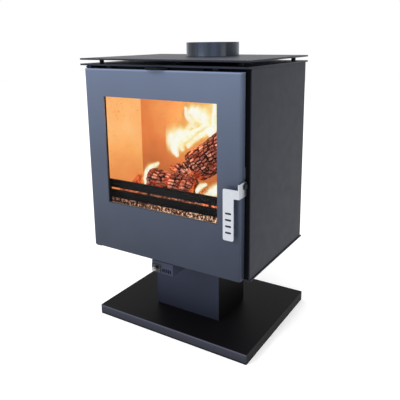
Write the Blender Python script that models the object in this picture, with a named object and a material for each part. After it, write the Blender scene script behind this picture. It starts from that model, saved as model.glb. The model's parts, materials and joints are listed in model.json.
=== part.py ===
"""Pedestal wood burning stove: folded steel body on a column, glazed door and twin top plates.

Frame: origin at the centre of the base's underside, +X to the right of someone facing the
door, +Y towards the back, +Z up. Metres.
"""
import math

import bmesh
import bpy
from mathutils import Matrix, Vector

# ---------------------------------------------------------------- driving sizes
FIT = 0.0003                     # gap between two pieces that touch
RUN = 0.0005                     # gap round a piece that slides or turns

BASE_WIDTH = 0.448
BASE_DEPTH = 0.352
BASE_HEIGHT = 0.026
BASE_SHEET = 0.003

PEDESTAL_WIDTH = 0.194
PEDESTAL_DEPTH = 0.139
PEDESTAL_HEIGHT = 0.184
PEDESTAL_SHEET = 0.003
PEDESTAL_BEHIND_DOOR = 0.111     # door front to column front
PEDESTAL_LIP = 0.022             # inward lip that the bolts pass through

DOOR_AHEAD_OF_BASE = 0.018
BODY_WIDTH = 0.456
BODY_DEPTH = 0.306
BODY_HEIGHT = 0.466
PANEL_SHEET = 0.0028
BODY_FLOOR_SHEET = 0.003
BODY_FLOOR_SHOW = 0.005          # how far the floor plate stands out behind the back panel
BODY_FLOOR_OVERHANG = 0.002      # how far it stands out beside each side panel
BODY_BEHIND_DOOR = 0.022         # door front to the side panels' front edge

DOOR_REVEAL = 0.013              # side panel's outer face to the door's edge
DOOR_TOP_GAP = 0.007
DOOR_BOTTOM_GAP = 0.001
DOOR_THICKNESS = 0.020
DOOR_SHEET = 0.0035
DOOR_EDGE_RADIUS = 0.004
DOOR_STILE = 0.057
DOOR_TOP_RAIL = 0.066
DOOR_BOTTOM_RAIL = 0.125
DOOR_TO_FRAME = 0.006

GLASS_THICKNESS = 0.004
GLASS_LAP = 0.012
GASKET_THICKNESS = 0.0012
CLIP_THICKNESS = 0.0015
SEAL_WIDTH = 0.011
SEAL_OUTSIDE_OPENING = 0.0015

FRAME_SHEET = 0.004
FRAME_SIDE_BORDER = 0.033
FRAME_TOP_BORDER = 0.034
FRAME_BOTTOM_BORDER = 0.027

FIREBOX_SHEET = 0.004
SIDE_AIR_GAP = 0.006
BACK_AIR_GAP = 0.003
FIREBOX_FLOOR_HEIGHT = 0.019     # above the body floor plate
SHELF_HEIGHT = 0.072             # grate shelf above the body floor plate
SHELF_SHEET = 0.005
LINER_THICKNESS = 0.025
LINER_HEIGHT = 0.321
FUEL_DEPTH = 0.1497
BAFFLE_THICKNESS = 0.020
BAFFLE_FRONT_GAP = 0.050
DUCT_SHEET = 0.003

GRATE_WIDTH = 0.220
GRATE_DEPTH = 0.096
GRATE_THICKNESS = 0.012
GRATE_SLOTS = 9
GRATE_SLOT_WIDTH = 0.010

ASH_PAN_WIDTH = 0.300
ASH_PAN_DEPTH = 0.140
ASH_PAN_HEIGHT = 0.038
ASH_PAN_SHEET = 0.0015

FENCE_BEHIND_FRAME = 0.003
FENCE_SHEET = 0.004
FENCE_TOP = 0.099                # above the grate shelf's top
FENCE_BAR = 0.0215
FENCE_BAR_GAP = 0.0055
FENCE_LEG_WIDTH = 0.010
FENCE_BRIDGE_WIDTH = 0.006
FENCE_BRIDGES = (-0.058, 0.118)  # places of the links between the two bars

TOP_PLATE_SHEET = 0.004
TOP_PLATE_OVERHANG = 0.003
TOP_PLATE_BEHIND_DOOR = 0.001
TOP_PLATE_BACK_OVERHANG = 0.009
TOP_PLATE_GAP = 0.009
TOP_PLATE_CORNER = 0.003
SPACER_DIAMETER = 0.011
FRONT_SPACER_X = 0.194
FRONT_SPACER_Y = 0.039           # behind the plates' front edge
BACK_SPACER_X = 0.202
BACK_SPACER_Y = 0.027            # ahead of the plates' back edge

FLUE_BORE = 0.130
COLLAR_WALL = 0.004
COLLAR_HEIGHT = 0.034            # above the upper plate
COLLAR_FLANGE_WIDTH = 0.018
COLLAR_FLANGE_THICKNESS = 0.0045
FLUE_EDGE_MARGIN = 0.015         # plates' back edge to the collar's wall
COLLAR_SCREWS = 3
COLLAR_SIDES = 48

HINGE_INSET = 0.010              # door edge to hinge axis, and door front to hinge axis
HINGE_PIN_DIAMETER = 0.006
HINGE_PIN_REACH = 0.012
HINGE_BRACKET_HALF = 0.008
HINGE_BRACKET_SHEET = 0.004
HINGE_BRACKET_GAP = 0.0015       # door's top edge to the upper bracket
HINGE_HOLE_PLAY = 0.0006

HANDLE_SHEET = 0.0025
HANDLE_STANDOFF = 0.0115         # door front to the back of the grip
HANDLE_GRIP_WIDTH = 0.026
HANDLE_GRIP_LENGTH = 0.116
HANDLE_TAB_HEIGHT = 0.020
HANDLE_SIDE_GAP = 0.0015         # door edge to the handle's side flange
HANDLE_SLOTS = 4
HANDLE_SLOT_LENGTH = 0.015
HANDLE_SLOT_MARGIN = 0.0055      # grip's left edge to its slots
HANDLE_GRIP_INSET = 0.009        # door edge to the grip's right edge
HANDLE_CORNER = 0.004
HANDLE_SLOT_HEIGHT = 0.0045
HANDLE_SLOT_PITCH = 0.0145
HANDLE_FIRST_SLOT = 0.018        # grip's bottom to the lowest slot's middle
HANDLE_PIVOT_HEIGHT = 0.217      # above the door's bottom edge
HANDLE_PIVOT_DEPTH = 0.014       # behind the door's front
HANDLE_LUG_RADIUS = 0.0115
SPINDLE_DIAMETER = 0.0074
SPINDLE_HEAD_DIAMETER = 0.015
SPINDLE_HEAD_THICKNESS = 0.003
CLAW_SHEET = 0.003
CLAW_BEHIND_SKIN = 0.0062        # door wall's inner face to the claw's inner face
CLAW_REACH = 0.010               # below the spindle; its swing stays behind the door skin
KEEPER_RISE = 0.014              # spindle's axis to the keeper's lower edge
KEEPER_HEIGHT = 0.026
KEEPER_WIDTH = 0.009

AIRWASH_TAB_WIDTH = 0.064
AIRWASH_TIP_WIDTH = 0.034
AIRWASH_TAB_AHEAD = 0.013
AIRWASH_SHEET = 0.004
AIRWASH_LIP_DROP = 0.0012        # the finger lip hangs this far, clear of the door's top
AIRWASH_STRIP_WIDTH = 0.240
AIRWASH_STRIP_DEPTH = 0.013
AIRWASH_TRAVEL = 0.020           # each way
AIRWASH_GUIDE_WIDTH = 0.014
AIRWASH_ABOVE_DOOR = 0.002
DEFLECTOR_DEPTH = 0.030
DEFLECTOR_DROP = 0.009
DEFLECTOR_SHEET = 0.003

AIR_BOX_WIDTH = 0.062
AIR_BOX_HEIGHT = 0.030
AIR_BOX_SHEET = 0.002
AIR_BOX_BEHIND_DOOR = 0.005
AIR_SLOTS = 5
AIR_SLOT_WIDTH = 0.0035
AIR_SLOT_PITCH = 0.0055
AIR_SLOT_HEIGHT = 0.010
AIR_SLOT_RISE = 0.0035           # box's underside to the slots
AIR_SLIDE_RISE = 0.002           # box's underside to the slide
AIR_SLIDE_WIDTH = 0.026
AIR_SLIDE_HEIGHT = 0.019
AIR_KNOB_DIAMETER = 0.011
AIR_KNOB_LENGTH = 0.010

BOLT_HEAD_WIDTH = 0.013
BOLT_HEAD_THICKNESS = 0.005
BOLT_DIAMETER = 0.008
SCREW_HEAD_DIAMETER = 0.009
SCREW_HEAD_THICKNESS = 0.0025

EMBER_HEIGHT = 0.052
EMBER_CELLS_ACROSS = 26
EMBER_CELLS_DEEP = 10
EMBER_BACK_HEAP = 0.014          # extra height against the back liner
EMBER_LEFT_HEAP = 0.013          # extra height against the left liner
EMBER_RIGHT_HEAP = 0.028         # extra height against the right liner
EMBER_HEAP_SLOPE = 0.050         # distance over which each heap falls away
LYING_LOG_RADIUS = 0.030
LYING_LOG_AHEAD = 0.109          # back liner to the lying log's axis
LEANING_LOG_RADIUS = 0.045
LEANING_LOG_AHEAD = 0.048        # back liner to the leaning log's axis
LEANING_LOG_FOOT = (0.0175, 0.068)   # x, and height above the fuel bed
LEANING_LOG_RISE = 0.098         # foot's height to head's height
LEANING_LOG_HEAD_GAP = 0.0325    # right liner to the middle of the log's head

# ---------------------------------------------------------------- derived places
DOOR_FRONT_Y = -BASE_DEPTH / 2 - DOOR_AHEAD_OF_BASE
DOOR_BACK_Y = DOOR_FRONT_Y + DOOR_THICKNESS
BODY_FRONT_Y = DOOR_FRONT_Y + BODY_BEHIND_DOOR
BODY_BACK_Y = BODY_FRONT_Y + BODY_DEPTH
FRAME_FRONT_Y = DOOR_BACK_Y + DOOR_TO_FRAME
FRAME_BACK_Y = FRAME_FRONT_Y + FRAME_SHEET

BODY_FLOOR_Z = BASE_HEIGHT + PEDESTAL_HEIGHT
PANEL_BOTTOM_Z = BODY_FLOOR_Z + BODY_FLOOR_SHEET + FIT
PANEL_TOP_Z = BODY_FLOOR_Z + BODY_FLOOR_SHEET + BODY_HEIGHT - FIT
LOWER_PLATE_Z = PANEL_TOP_Z + FIT
UPPER_PLATE_Z = LOWER_PLATE_Z + TOP_PLATE_SHEET + TOP_PLATE_GAP
RIM_Z = UPPER_PLATE_Z + TOP_PLATE_SHEET + COLLAR_HEIGHT

BODY_HALF = BODY_WIDTH / 2
PANEL_INNER = BODY_HALF - PANEL_SHEET
DOOR_HALF = BODY_HALF - DOOR_REVEAL
DOOR_BOTTOM_Z = BODY_FLOOR_Z + BODY_FLOOR_SHEET + DOOR_BOTTOM_GAP
DOOR_TOP_Z = LOWER_PLATE_Z - DOOR_TOP_GAP
WINDOW_HALF = DOOR_HALF - DOOR_STILE
WINDOW_BOTTOM_Z = DOOR_BOTTOM_Z + DOOR_BOTTOM_RAIL
WINDOW_TOP_Z = DOOR_TOP_Z - DOOR_TOP_RAIL

OPENING_HALF = PANEL_INNER - FRAME_SIDE_BORDER
OPENING_BOTTOM_Z = PANEL_BOTTOM_Z + FRAME_BOTTOM_BORDER
OPENING_TOP_Z = PANEL_TOP_Z - FRAME_TOP_BORDER

FIREBOX_HALF = PANEL_INNER - SIDE_AIR_GAP
FIREBOX_INNER = FIREBOX_HALF - FIREBOX_SHEET
FIREBOX_FRONT_Y = FRAME_BACK_Y + FIT
FIREBOX_BACK_Y = BODY_BACK_Y - PANEL_SHEET - BACK_AIR_GAP
FIREBOX_REAR_INNER_Y = FIREBOX_BACK_Y - FIREBOX_SHEET
FIREBOX_FLOOR_Z = BODY_FLOOR_Z + BODY_FLOOR_SHEET + FIREBOX_FLOOR_HEIGHT
SHELF_Z = BODY_FLOOR_Z + BODY_FLOOR_SHEET + SHELF_HEIGHT
LINER_BOTTOM_Z = SHELF_Z + SHELF_SHEET + FIT
LINER_TOP_Z = LINER_BOTTOM_Z + LINER_HEIGHT
LINER_OUTER = FIREBOX_INNER - FIT
LINER_INNER = LINER_OUTER - LINER_THICKNESS
LINER_BACK_Y = FIREBOX_FRONT_Y + FUEL_DEPTH
LINER_REAR_Y = LINER_BACK_Y + LINER_THICKNESS
GRATE_Y = FIREBOX_FRONT_Y + FUEL_DEPTH / 2
FUEL_TOP_Z = LINER_BOTTOM_Z + GRATE_THICKNESS + EMBER_HEIGHT

PLATE_HALF = BODY_HALF + TOP_PLATE_OVERHANG
PLATE_FRONT_Y = DOOR_FRONT_Y + TOP_PLATE_BEHIND_DOOR
PLATE_BACK_Y = BODY_BACK_Y + TOP_PLATE_BACK_OVERHANG
BORE_RADIUS = FLUE_BORE / 2
COLLAR_RADIUS = BORE_RADIUS + COLLAR_WALL
FLUE_Y = PLATE_BACK_Y - FLUE_EDGE_MARGIN - COLLAR_RADIUS

HINGE_X = -DOOR_HALF + HINGE_INSET
HINGE_Y = DOOR_FRONT_Y + HINGE_INSET
PIVOT_Y = DOOR_FRONT_Y + HANDLE_PIVOT_DEPTH
PIVOT_Z = DOOR_BOTTOM_Z + HANDLE_PIVOT_HEIGHT
FLANGE_X = DOOR_HALF + HANDLE_SIDE_GAP

PEDESTAL_FRONT_Y = DOOR_FRONT_Y + PEDESTAL_BEHIND_DOOR
PEDESTAL_BACK_Y = PEDESTAL_FRONT_Y + PEDESTAL_DEPTH


# ---------------------------------------------------------------- finishes
def finish(name, colour, roughness, metallic):
    """Return a plain finish with one colour, roughness and metallic value."""
    made = bpy.data.materials.new(name)
    made.use_nodes = True
    shader = made.node_tree.nodes["Principled BSDF"]
    shader.inputs["Base Color"].default_value = (*colour, 1.0)
    shader.inputs["Roughness"].default_value = roughness
    shader.inputs["Metallic"].default_value = metallic
    return made


# ---------------------------------------------------------------- modelling helpers
AXES = {
    "X": Matrix(((0, 0, 1), (1, 0, 0), (0, 1, 0))),
    "Y": Matrix(((0, 1, 0), (0, 0, 1), (1, 0, 0))),
    "Z": Matrix(((1, 0, 0), (0, 1, 0), (0, 0, 1))),
}


def publish(name, mesh_data, place, coat, smooth=False):
    """Turn a bmesh into a named object at a place, with its faces pointing out."""
    bmesh.ops.recalc_face_normals(mesh_data, faces=mesh_data.faces)
    mesh = bpy.data.meshes.new(name)
    mesh_data.to_mesh(mesh)
    mesh_data.free()
    if smooth:
        mesh.shade_smooth()
        mesh.set_sharp_from_angle(angle=math.radians(35))
    piece = bpy.data.objects.new(name, mesh)
    piece.location = place
    bpy.context.collection.objects.link(piece)
    if coat:
        mesh.materials.append(coat)
    return piece


def add_block(mesh_data, low, high):
    """Add one rectangular block to a bmesh."""
    size = Vector(high) - Vector(low)
    middle = (Vector(high) + Vector(low)) / 2
    shape = Matrix.Translation(middle) @ Matrix.Diagonal((*size, 1.0))
    bmesh.ops.create_cube(mesh_data, size=1.0, matrix=shape)


def block(name, low, high, coat):
    """A rectangular block between two corners, with its origin at its middle."""
    middle = (Vector(high) + Vector(low)) / 2
    mesh_data = bmesh.new()
    add_block(mesh_data, Vector(low) - middle, Vector(high) - middle)
    return publish(name, mesh_data, middle, coat)


def rounded(corners, radius, steps=4):
    """Replace each corner of an outline by an arc; radius is one value or one per corner."""
    radii = radius if isinstance(radius, (list, tuple)) else [radius] * len(corners)
    outline = []
    for index, corner in enumerate(corners):
        here = Vector(corner)
        if radii[index] <= 0:
            outline.append(here)
            continue
        before = (Vector(corners[index - 1]) - here).normalized()
        after = (Vector(corners[(index + 1) % len(corners)]) - here).normalized()
        half_angle = before.angle(after) / 2
        reach = radii[index] / math.tan(half_angle)
        centre = here + (before + after).normalized() * radii[index] / math.sin(half_angle)
        start = here + before * reach - centre
        end = here + after * reach - centre
        for step in range(steps + 1):
            share = step / steps
            direction = start.lerp(end, share).normalized()
            outline.append(centre + direction * radii[index])
    return outline


def rectangle(low_u, low_v, high_u, high_v):
    """Corners of a rectangle."""
    return [(low_u, low_v), (high_u, low_v), (high_u, high_v), (low_u, high_v)]


def prism(name, outline, axis, start, end, coat, smooth=False):
    """Extrude an outline along an axis. Outlines on X are (y, z), on Y (z, x), on Z (x, y)."""
    mesh_data = bmesh.new()
    turn = AXES[axis].to_4x4()
    points = [turn @ Vector((u, v, start)) for u, v in outline]
    face = mesh_data.faces.new([mesh_data.verts.new(point) for point in points])
    grown = bmesh.ops.extrude_face_region(mesh_data, geom=[face])
    moved = [item for item in grown["geom"] if isinstance(item, bmesh.types.BMVert)]
    bmesh.ops.translate(mesh_data, verts=moved, vec=turn @ Vector((0, 0, end - start)))
    return publish(name, mesh_data, (0, 0, 0), coat, smooth)


def turned(name, profile, centre, axis, coat, sides=24, ring=False):
    """Turn a profile of (radius, height) round an axis; a ring's profile closes on itself."""
    mesh_data = bmesh.new()
    turn = AXES[axis].to_4x4()
    rows = []
    for radius, height in profile:
        count = sides if radius > 0 else 1
        row = []
        for step in range(count):
            angle = 2 * math.pi * step / sides
            point = Vector((radius * math.cos(angle), radius * math.sin(angle), height))
            row.append(mesh_data.verts.new(turn @ point))
        rows.append(row)
    pairs = list(zip(rows, rows[1:]))
    if ring:
        pairs.append((rows[-1], rows[0]))
    for first, second in pairs:
        for step in range(sides):
            after = (step + 1) % sides
            loop = [first[step % len(first)], first[after % len(first)],
                    second[after % len(second)], second[step % len(second)]]
            mesh_data.faces.new(list(dict.fromkeys(loop)))
    return publish(name, mesh_data, centre, coat, smooth=True)


def cutter(name, blocks):
    """A hidden cutting shape made of blocks."""
    mesh_data = bmesh.new()
    for low, high in blocks:
        add_block(mesh_data, low, high)
    return hide(publish(name, mesh_data, (0, 0, 0), None))


def hide(shape):
    """Mark a shape as one that only cuts or joins."""
    shape.hide_render = True
    shape.display_type = "WIRE"
    return shape


def boolean(piece, other, operation):
    """Cut another shape from a piece, or join it to the piece."""
    step = piece.modifiers.new(operation.lower(), "BOOLEAN")
    step.operation = operation
    step.object = hide(other)
    return piece


def cut(piece, other):
    """Cut a hidden shape out of a piece."""
    return boolean(piece, other, "DIFFERENCE")


def join(piece, other):
    """Join a hidden shape to a piece."""
    return boolean(piece, other, "UNION")


def round_hole(name, radius, centre, axis, length):
    """A hidden cylinder for boring a hole through a point."""
    profile = [(0, -length / 2), (radius, -length / 2), (radius, length / 2), (0, length / 2)]
    return hide(turned(name, profile, centre, axis, None))


def axis_empty(name, place):
    """An empty on a joint's axis, for a moving group to hang on."""
    empty = bpy.data.objects.new(name, None)
    empty.location = place
    bpy.context.collection.objects.link(empty)
    return empty


def hang(empty, pieces):
    """Parent pieces to an empty without moving them."""
    bpy.context.view_layer.update()
    for piece in pieces:
        piece.parent = empty
        piece.matrix_parent_inverse = empty.matrix_world.inverted()


# ---------------------------------------------------------------- base and column
def make_base(coats):
    """Folded base tray, its floor plate, the column and the bolts into the body."""
    half_w = BASE_WIDTH / 2
    half_d = BASE_DEPTH / 2
    block("base_floor_plate", (-half_w, -half_d, 0), (half_w, half_d, BASE_SHEET), coats["black"])
    tray = block("base_plate", (-half_w, -half_d, BASE_SHEET + FIT),
                 (half_w, half_d, BASE_HEIGHT), coats["black"])
    inside = ((-half_w + BASE_SHEET, -half_d + BASE_SHEET, 0),
              (half_w - BASE_SHEET, half_d - BASE_SHEET, BASE_HEIGHT - BASE_SHEET))
    cut(tray, cutter("base_plate_inside", [inside]))

    outer = PEDESTAL_WIDTH / 2
    low_z = BASE_HEIGHT + FIT
    high_z = BODY_FLOOR_Z - FIT
    column = block("pedestal_column", (-outer, PEDESTAL_FRONT_Y, low_z),
                   (outer, PEDESTAL_BACK_Y, high_z), coats["black"])
    inner = outer - PEDESTAL_SHEET
    lip = inner - PEDESTAL_LIP
    hollow = ((-inner, PEDESTAL_FRONT_Y + PEDESTAL_SHEET, low_z + PEDESTAL_SHEET),
              (inner, PEDESTAL_BACK_Y - PEDESTAL_SHEET, high_z - PEDESTAL_SHEET))
    way = ((-lip, PEDESTAL_FRONT_Y + PEDESTAL_SHEET + PEDESTAL_LIP, low_z - PEDESTAL_SHEET),
           (lip, PEDESTAL_BACK_Y - PEDESTAL_SHEET - PEDESTAL_LIP, high_z + PEDESTAL_SHEET))
    cut(column, cutter("pedestal_hollow", [hollow]))
    cut(column, cutter("pedestal_way", [way]))

    floor_half = BODY_HALF + BODY_FLOOR_OVERHANG
    floor_top = BODY_FLOOR_Z + BODY_FLOOR_SHEET
    floor = block("body_floor_plate", (-floor_half, BODY_FRONT_Y, BODY_FLOOR_Z),
                  (floor_half, BODY_BACK_Y + BODY_FLOOR_SHOW, floor_top), coats["black"])
    bolt_x = inner - PEDESTAL_LIP / 2
    for side, x in (("left", -bolt_x), ("right", bolt_x)):
        for end, y in (("front", PEDESTAL_FRONT_Y + PEDESTAL_SHEET + PEDESTAL_LIP / 2),
                       ("back", PEDESTAL_BACK_Y - PEDESTAL_SHEET - PEDESTAL_LIP / 2)):
            name = f"column_bolt_{end}_{side}"
            place = (x, y, high_z - PEDESTAL_SHEET - FIT)
            shank = BOLT_DIAMETER / 2
            head = BOLT_HEAD_WIDTH / 2
            tip = 2 * PEDESTAL_SHEET + 2 * FIT + BODY_FLOOR_SHEET + 0.006
            profile = [(0, -BOLT_HEAD_THICKNESS), (head, -BOLT_HEAD_THICKNESS), (head, 0),
                       (shank, 0), (shank, tip), (0, tip)]
            turned(name, profile, place, "Z", coats["steel"], sides=6)
            cut(column, round_hole(name + "_lip_hole", shank + RUN, place, "Z", 0.02))
            cut(floor, round_hole(name + "_floor_hole", shank + RUN, place, "Z", 0.02))
    return floor


# ---------------------------------------------------------------- body shell
def make_shell(coats):
    """Side, back and front sheets, the two top plates, their spacers and the flue collar."""
    for side, sign in (("left", -1), ("right", 1)):
        edges = sorted((sign * PANEL_INNER, sign * BODY_HALF))
        block(f"side_panel_{side}", (edges[0], BODY_FRONT_Y, PANEL_BOTTOM_Z),
              (edges[1], BODY_BACK_Y, PANEL_TOP_Z), coats["black"])
    inner = PANEL_INNER - FIT
    block("back_panel", (-inner, BODY_BACK_Y - PANEL_SHEET, PANEL_BOTTOM_Z),
          (inner, BODY_BACK_Y, PANEL_TOP_Z), coats["black"])
    front = block("front_frame", (-inner, FRAME_FRONT_Y, PANEL_BOTTOM_Z),
                  (inner, FRAME_BACK_Y, PANEL_TOP_Z), coats["black"])
    mouth = ((-OPENING_HALF, FRAME_FRONT_Y - FRAME_SHEET, OPENING_BOTTOM_Z),
             (OPENING_HALF, FRAME_BACK_Y + FRAME_SHEET, OPENING_TOP_Z))
    cut(front, cutter("front_frame_mouth", [mouth]))

    outline = rounded(rectangle(-PLATE_HALF, PLATE_FRONT_Y, PLATE_HALF, PLATE_BACK_Y), TOP_PLATE_CORNER)
    lower = prism("lower_top_plate", outline, "Z", LOWER_PLATE_Z, LOWER_PLATE_Z + TOP_PLATE_SHEET,
                  coats["black"])
    upper = prism("upper_top_plate", outline, "Z", UPPER_PLATE_Z, UPPER_PLATE_Z + TOP_PLATE_SHEET,
                  coats["black"])
    cut(lower, round_hole("lower_plate_flue_hole", BORE_RADIUS, (0, FLUE_Y, LOWER_PLATE_Z), "Z", 0.03))
    clearance = COLLAR_RADIUS + 2 * RUN
    cut(upper, round_hole("upper_plate_flue_hole", clearance, (0, FLUE_Y, UPPER_PLATE_Z), "Z", 0.02))

    rest_z = LOWER_PLATE_Z + TOP_PLATE_SHEET + FIT
    height = TOP_PLATE_GAP - 2 * FIT
    radius = SPACER_DIAMETER / 2
    profile = [(0, 0), (radius, 0), (radius, height), (0, height)]
    rows = (("front", FRONT_SPACER_X, PLATE_FRONT_Y + FRONT_SPACER_Y),
            ("back", BACK_SPACER_X, PLATE_BACK_Y - BACK_SPACER_Y))
    for row, x, y in rows:
        for side, sign in (("left", -1), ("right", 1)):
            place = (sign * x, y, rest_z)
            turned(f"plate_spacer_{row}_{side}", profile, place, "Z", coats["black"], 16)

    flange_radius = COLLAR_RADIUS + COLLAR_FLANGE_WIDTH
    flange_top = COLLAR_FLANGE_THICKNESS
    rim = RIM_Z - rest_z
    profile = [(BORE_RADIUS, 0), (flange_radius, 0), (flange_radius, flange_top),
               (COLLAR_RADIUS, flange_top), (COLLAR_RADIUS, rim), (BORE_RADIUS, rim)]
    collar = turned("flue_collar", profile, (0, FLUE_Y, rest_z), "Z", coats["iron"], COLLAR_SIDES, ring=True)
    circle = COLLAR_RADIUS + COLLAR_FLANGE_WIDTH / 2
    shank = BOLT_DIAMETER / 4
    head = SCREW_HEAD_DIAMETER / 2
    for number in range(COLLAR_SCREWS):
        angle = math.radians(90 + 180 / COLLAR_SIDES + 360 * number / COLLAR_SCREWS)
        x = circle * math.cos(angle)
        y = FLUE_Y + circle * math.sin(angle)
        name = f"collar_screw_{number + 1}"
        low = -flange_top - 2 * FIT - TOP_PLATE_SHEET - 0.003
        profile = [(0, low), (shank, low), (shank, 0), (head, 0),
                   (head * 0.7, SCREW_HEAD_THICKNESS), (0, SCREW_HEAD_THICKNESS)]
        place = (x, y, rest_z + flange_top + FIT)
        turned(name, profile, place, "Z", coats["steel"], 12)
        cut(collar, round_hole(name + "_flange_hole", shank + RUN, place, "Z", 0.012))
        cut(lower, round_hole(name + "_plate_hole", shank + RUN, place, "Z", 0.03))


# ---------------------------------------------------------------- firebox
def make_firebox(coats):
    """Inner steel box, rear air duct, grate shelf, grate, ash pan, liners, baffle and fence."""
    roof_z = LOWER_PLATE_Z - FIT
    floor_low = FIREBOX_FLOOR_Z - FIREBOX_SHEET
    for side, sign in (("left", -1), ("right", 1)):
        edges = sorted((sign * FIREBOX_INNER, sign * FIREBOX_HALF))
        block(f"firebox_side_{side}", (edges[0], FIREBOX_FRONT_Y, floor_low),
              (edges[1], FIREBOX_REAR_INNER_Y - FIT, roof_z), coats["iron"])
    block("firebox_back", (-FIREBOX_HALF, FIREBOX_REAR_INNER_Y, floor_low),
          (FIREBOX_HALF, FIREBOX_BACK_Y, roof_z), coats["iron"])
    inner = FIREBOX_INNER - FIT
    floor = block("firebox_floor", (-inner, FIREBOX_FRONT_Y, floor_low),
                  (inner, FIREBOX_REAR_INNER_Y - FIT, FIREBOX_FLOOR_Z), coats["iron"])
    air_way = AIR_BOX_WIDTH / 2 - AIR_BOX_SHEET
    way = ((-air_way, FIREBOX_REAR_INNER_Y - 0.07, floor_low - 0.01),
           (air_way, FIREBOX_REAR_INNER_Y - 0.03, FIREBOX_FLOOR_Z + 0.01))
    cut(floor, cutter("firebox_floor_air_way", [way]))

    duct_front = LINER_REAR_Y + FIT
    duct_top = LINER_TOP_Z
    outline = [(duct_front, FIREBOX_FLOOR_Z + FIT), (duct_front + DUCT_SHEET, FIREBOX_FLOOR_Z + FIT),
               (duct_front + DUCT_SHEET, duct_top - DUCT_SHEET),
               (FIREBOX_REAR_INNER_Y - FIT, duct_top - DUCT_SHEET),
               (FIREBOX_REAR_INNER_Y - FIT, duct_top), (duct_front, duct_top)]
    prism("rear_air_duct", outline, "X", -inner, inner, coats["iron"])

    shelf = block("grate_shelf", (-inner, FIREBOX_FRONT_Y, SHELF_Z),
                  (inner, LINER_REAR_Y, SHELF_Z + SHELF_SHEET), coats["iron"])
    lap = 0.008
    drop = ((-GRATE_WIDTH / 2 + lap, GRATE_Y - GRATE_DEPTH / 2 + lap, SHELF_Z - 0.01),
            (GRATE_WIDTH / 2 - lap, GRATE_Y + GRATE_DEPTH / 2 - lap, SHELF_Z + 0.02))
    cut(shelf, cutter("grate_shelf_drop", [drop]))

    low = LINER_BOTTOM_Z
    for side, sign in (("left", -1), ("right", 1)):
        edges = sorted((sign * LINER_INNER, sign * LINER_OUTER))
        block(f"liner_{side}", (edges[0], FIREBOX_FRONT_Y + FIT, low),
              (edges[1], LINER_REAR_Y, LINER_TOP_Z), coats["liner"])
    within = LINER_INNER - FIT
    block("liner_back", (-within, LINER_BACK_Y, low), (within, LINER_REAR_Y, LINER_TOP_Z), coats["liner"])
    bed = block("liner_floor", (-within, FIREBOX_FRONT_Y + FENCE_BEHIND_FRAME + FENCE_SHEET + 2 * FIT, low),
                (within, LINER_BACK_Y - FIT, low + GRATE_THICKNESS), coats["liner"])
    seat = ((-GRATE_WIDTH / 2 - RUN, GRATE_Y - GRATE_DEPTH / 2 - RUN, low - 0.01),
            (GRATE_WIDTH / 2 + RUN, GRATE_Y + GRATE_DEPTH / 2 + RUN, low + 0.03))
    cut(bed, cutter("liner_floor_seat", [seat]))
    grate = block("grate", (-GRATE_WIDTH / 2, GRATE_Y - GRATE_DEPTH / 2, low),
                  (GRATE_WIDTH / 2, GRATE_Y + GRATE_DEPTH / 2, low + GRATE_THICKNESS), coats["iron"])
    pitch = GRATE_WIDTH / (GRATE_SLOTS + 1)
    slots = []
    for number in range(GRATE_SLOTS):
        x = -GRATE_WIDTH / 2 + pitch * (number + 1)
        slots.append(((x - GRATE_SLOT_WIDTH / 2, GRATE_Y - GRATE_DEPTH / 2 + 0.012, low - 0.01),
                      (x + GRATE_SLOT_WIDTH / 2, GRATE_Y + GRATE_DEPTH / 2 - 0.012, low + 0.03)))
    cut(grate, cutter("grate_slots", slots))

    baffle_half = LINER_OUTER - LINER_THICKNESS / 2
    block("baffle_plate", (-baffle_half, FIREBOX_FRONT_Y + BAFFLE_FRONT_GAP, LINER_TOP_Z + FIT),
          (baffle_half, LINER_REAR_Y, LINER_TOP_Z + FIT + BAFFLE_THICKNESS), coats["liner"])
    make_ash_pan(coats)
    make_fence(coats)


def make_ash_pan(coats):
    """Open folded pan under the grate, with a front pull lip."""
    low_z = FIREBOX_FLOOR_Z + FIT
    front = GRATE_Y - ASH_PAN_DEPTH / 2
    half = ASH_PAN_WIDTH / 2
    sheet = ASH_PAN_SHEET
    pan = block("ash_pan", (-half, front, low_z), (half, front + ASH_PAN_DEPTH, low_z + ASH_PAN_HEIGHT),
                coats["steel"])
    inside = ((-half + sheet, front + sheet, low_z + sheet),
              (half - sheet, front + ASH_PAN_DEPTH - sheet, low_z + ASH_PAN_HEIGHT + 0.01))
    cut(pan, cutter("ash_pan_inside", [inside]))


def make_fence(coats):
    """Two flat bars across the mouth that keep the logs off the glass."""
    front = FIREBOX_FRONT_Y + FENCE_BEHIND_FRAME
    back = front + FENCE_SHEET
    half = LINER_INNER - 2 * FIT
    top_z = SHELF_Z + SHELF_SHEET + FENCE_TOP
    low_bar_z = top_z - 2 * FENCE_BAR - FENCE_BAR_GAP
    fence = block("log_fence", (-half, front, LINER_BOTTOM_Z), (half, back, top_z), coats["black"])
    under = ((-half + FENCE_LEG_WIDTH, front - 0.01, LINER_BOTTOM_Z - 0.01),
             (half - FENCE_LEG_WIDTH, back + 0.01, low_bar_z))
    slots = [under]
    edges = [-half + FENCE_LEG_WIDTH]
    for x in FENCE_BRIDGES:
        edges += [x - FENCE_BRIDGE_WIDTH / 2, x + FENCE_BRIDGE_WIDTH / 2]
    edges.append(half - FENCE_LEG_WIDTH)
    for start, end in zip(edges[0::2], edges[1::2]):
        slots.append(((start, front - 0.01, low_bar_z + FENCE_BAR),
                      (end, back + 0.01, low_bar_z + FENCE_BAR + FENCE_BAR_GAP)))
    cut(fence, cutter("log_fence_slots", slots))


# ---------------------------------------------------------------- fuel
def lying_log_line():
    """Ends of the log that lies across the fuel bed, its left end a little higher."""
    rest_z = FUEL_TOP_Z + LYING_LOG_RADIUS
    y = LINER_BACK_Y - LYING_LOG_AHEAD
    left = Vector((-0.079, y + 0.002, rest_z + 0.0115))
    right = Vector((0.055, y - 0.002, rest_z + 0.0015))
    return left, right


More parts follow.
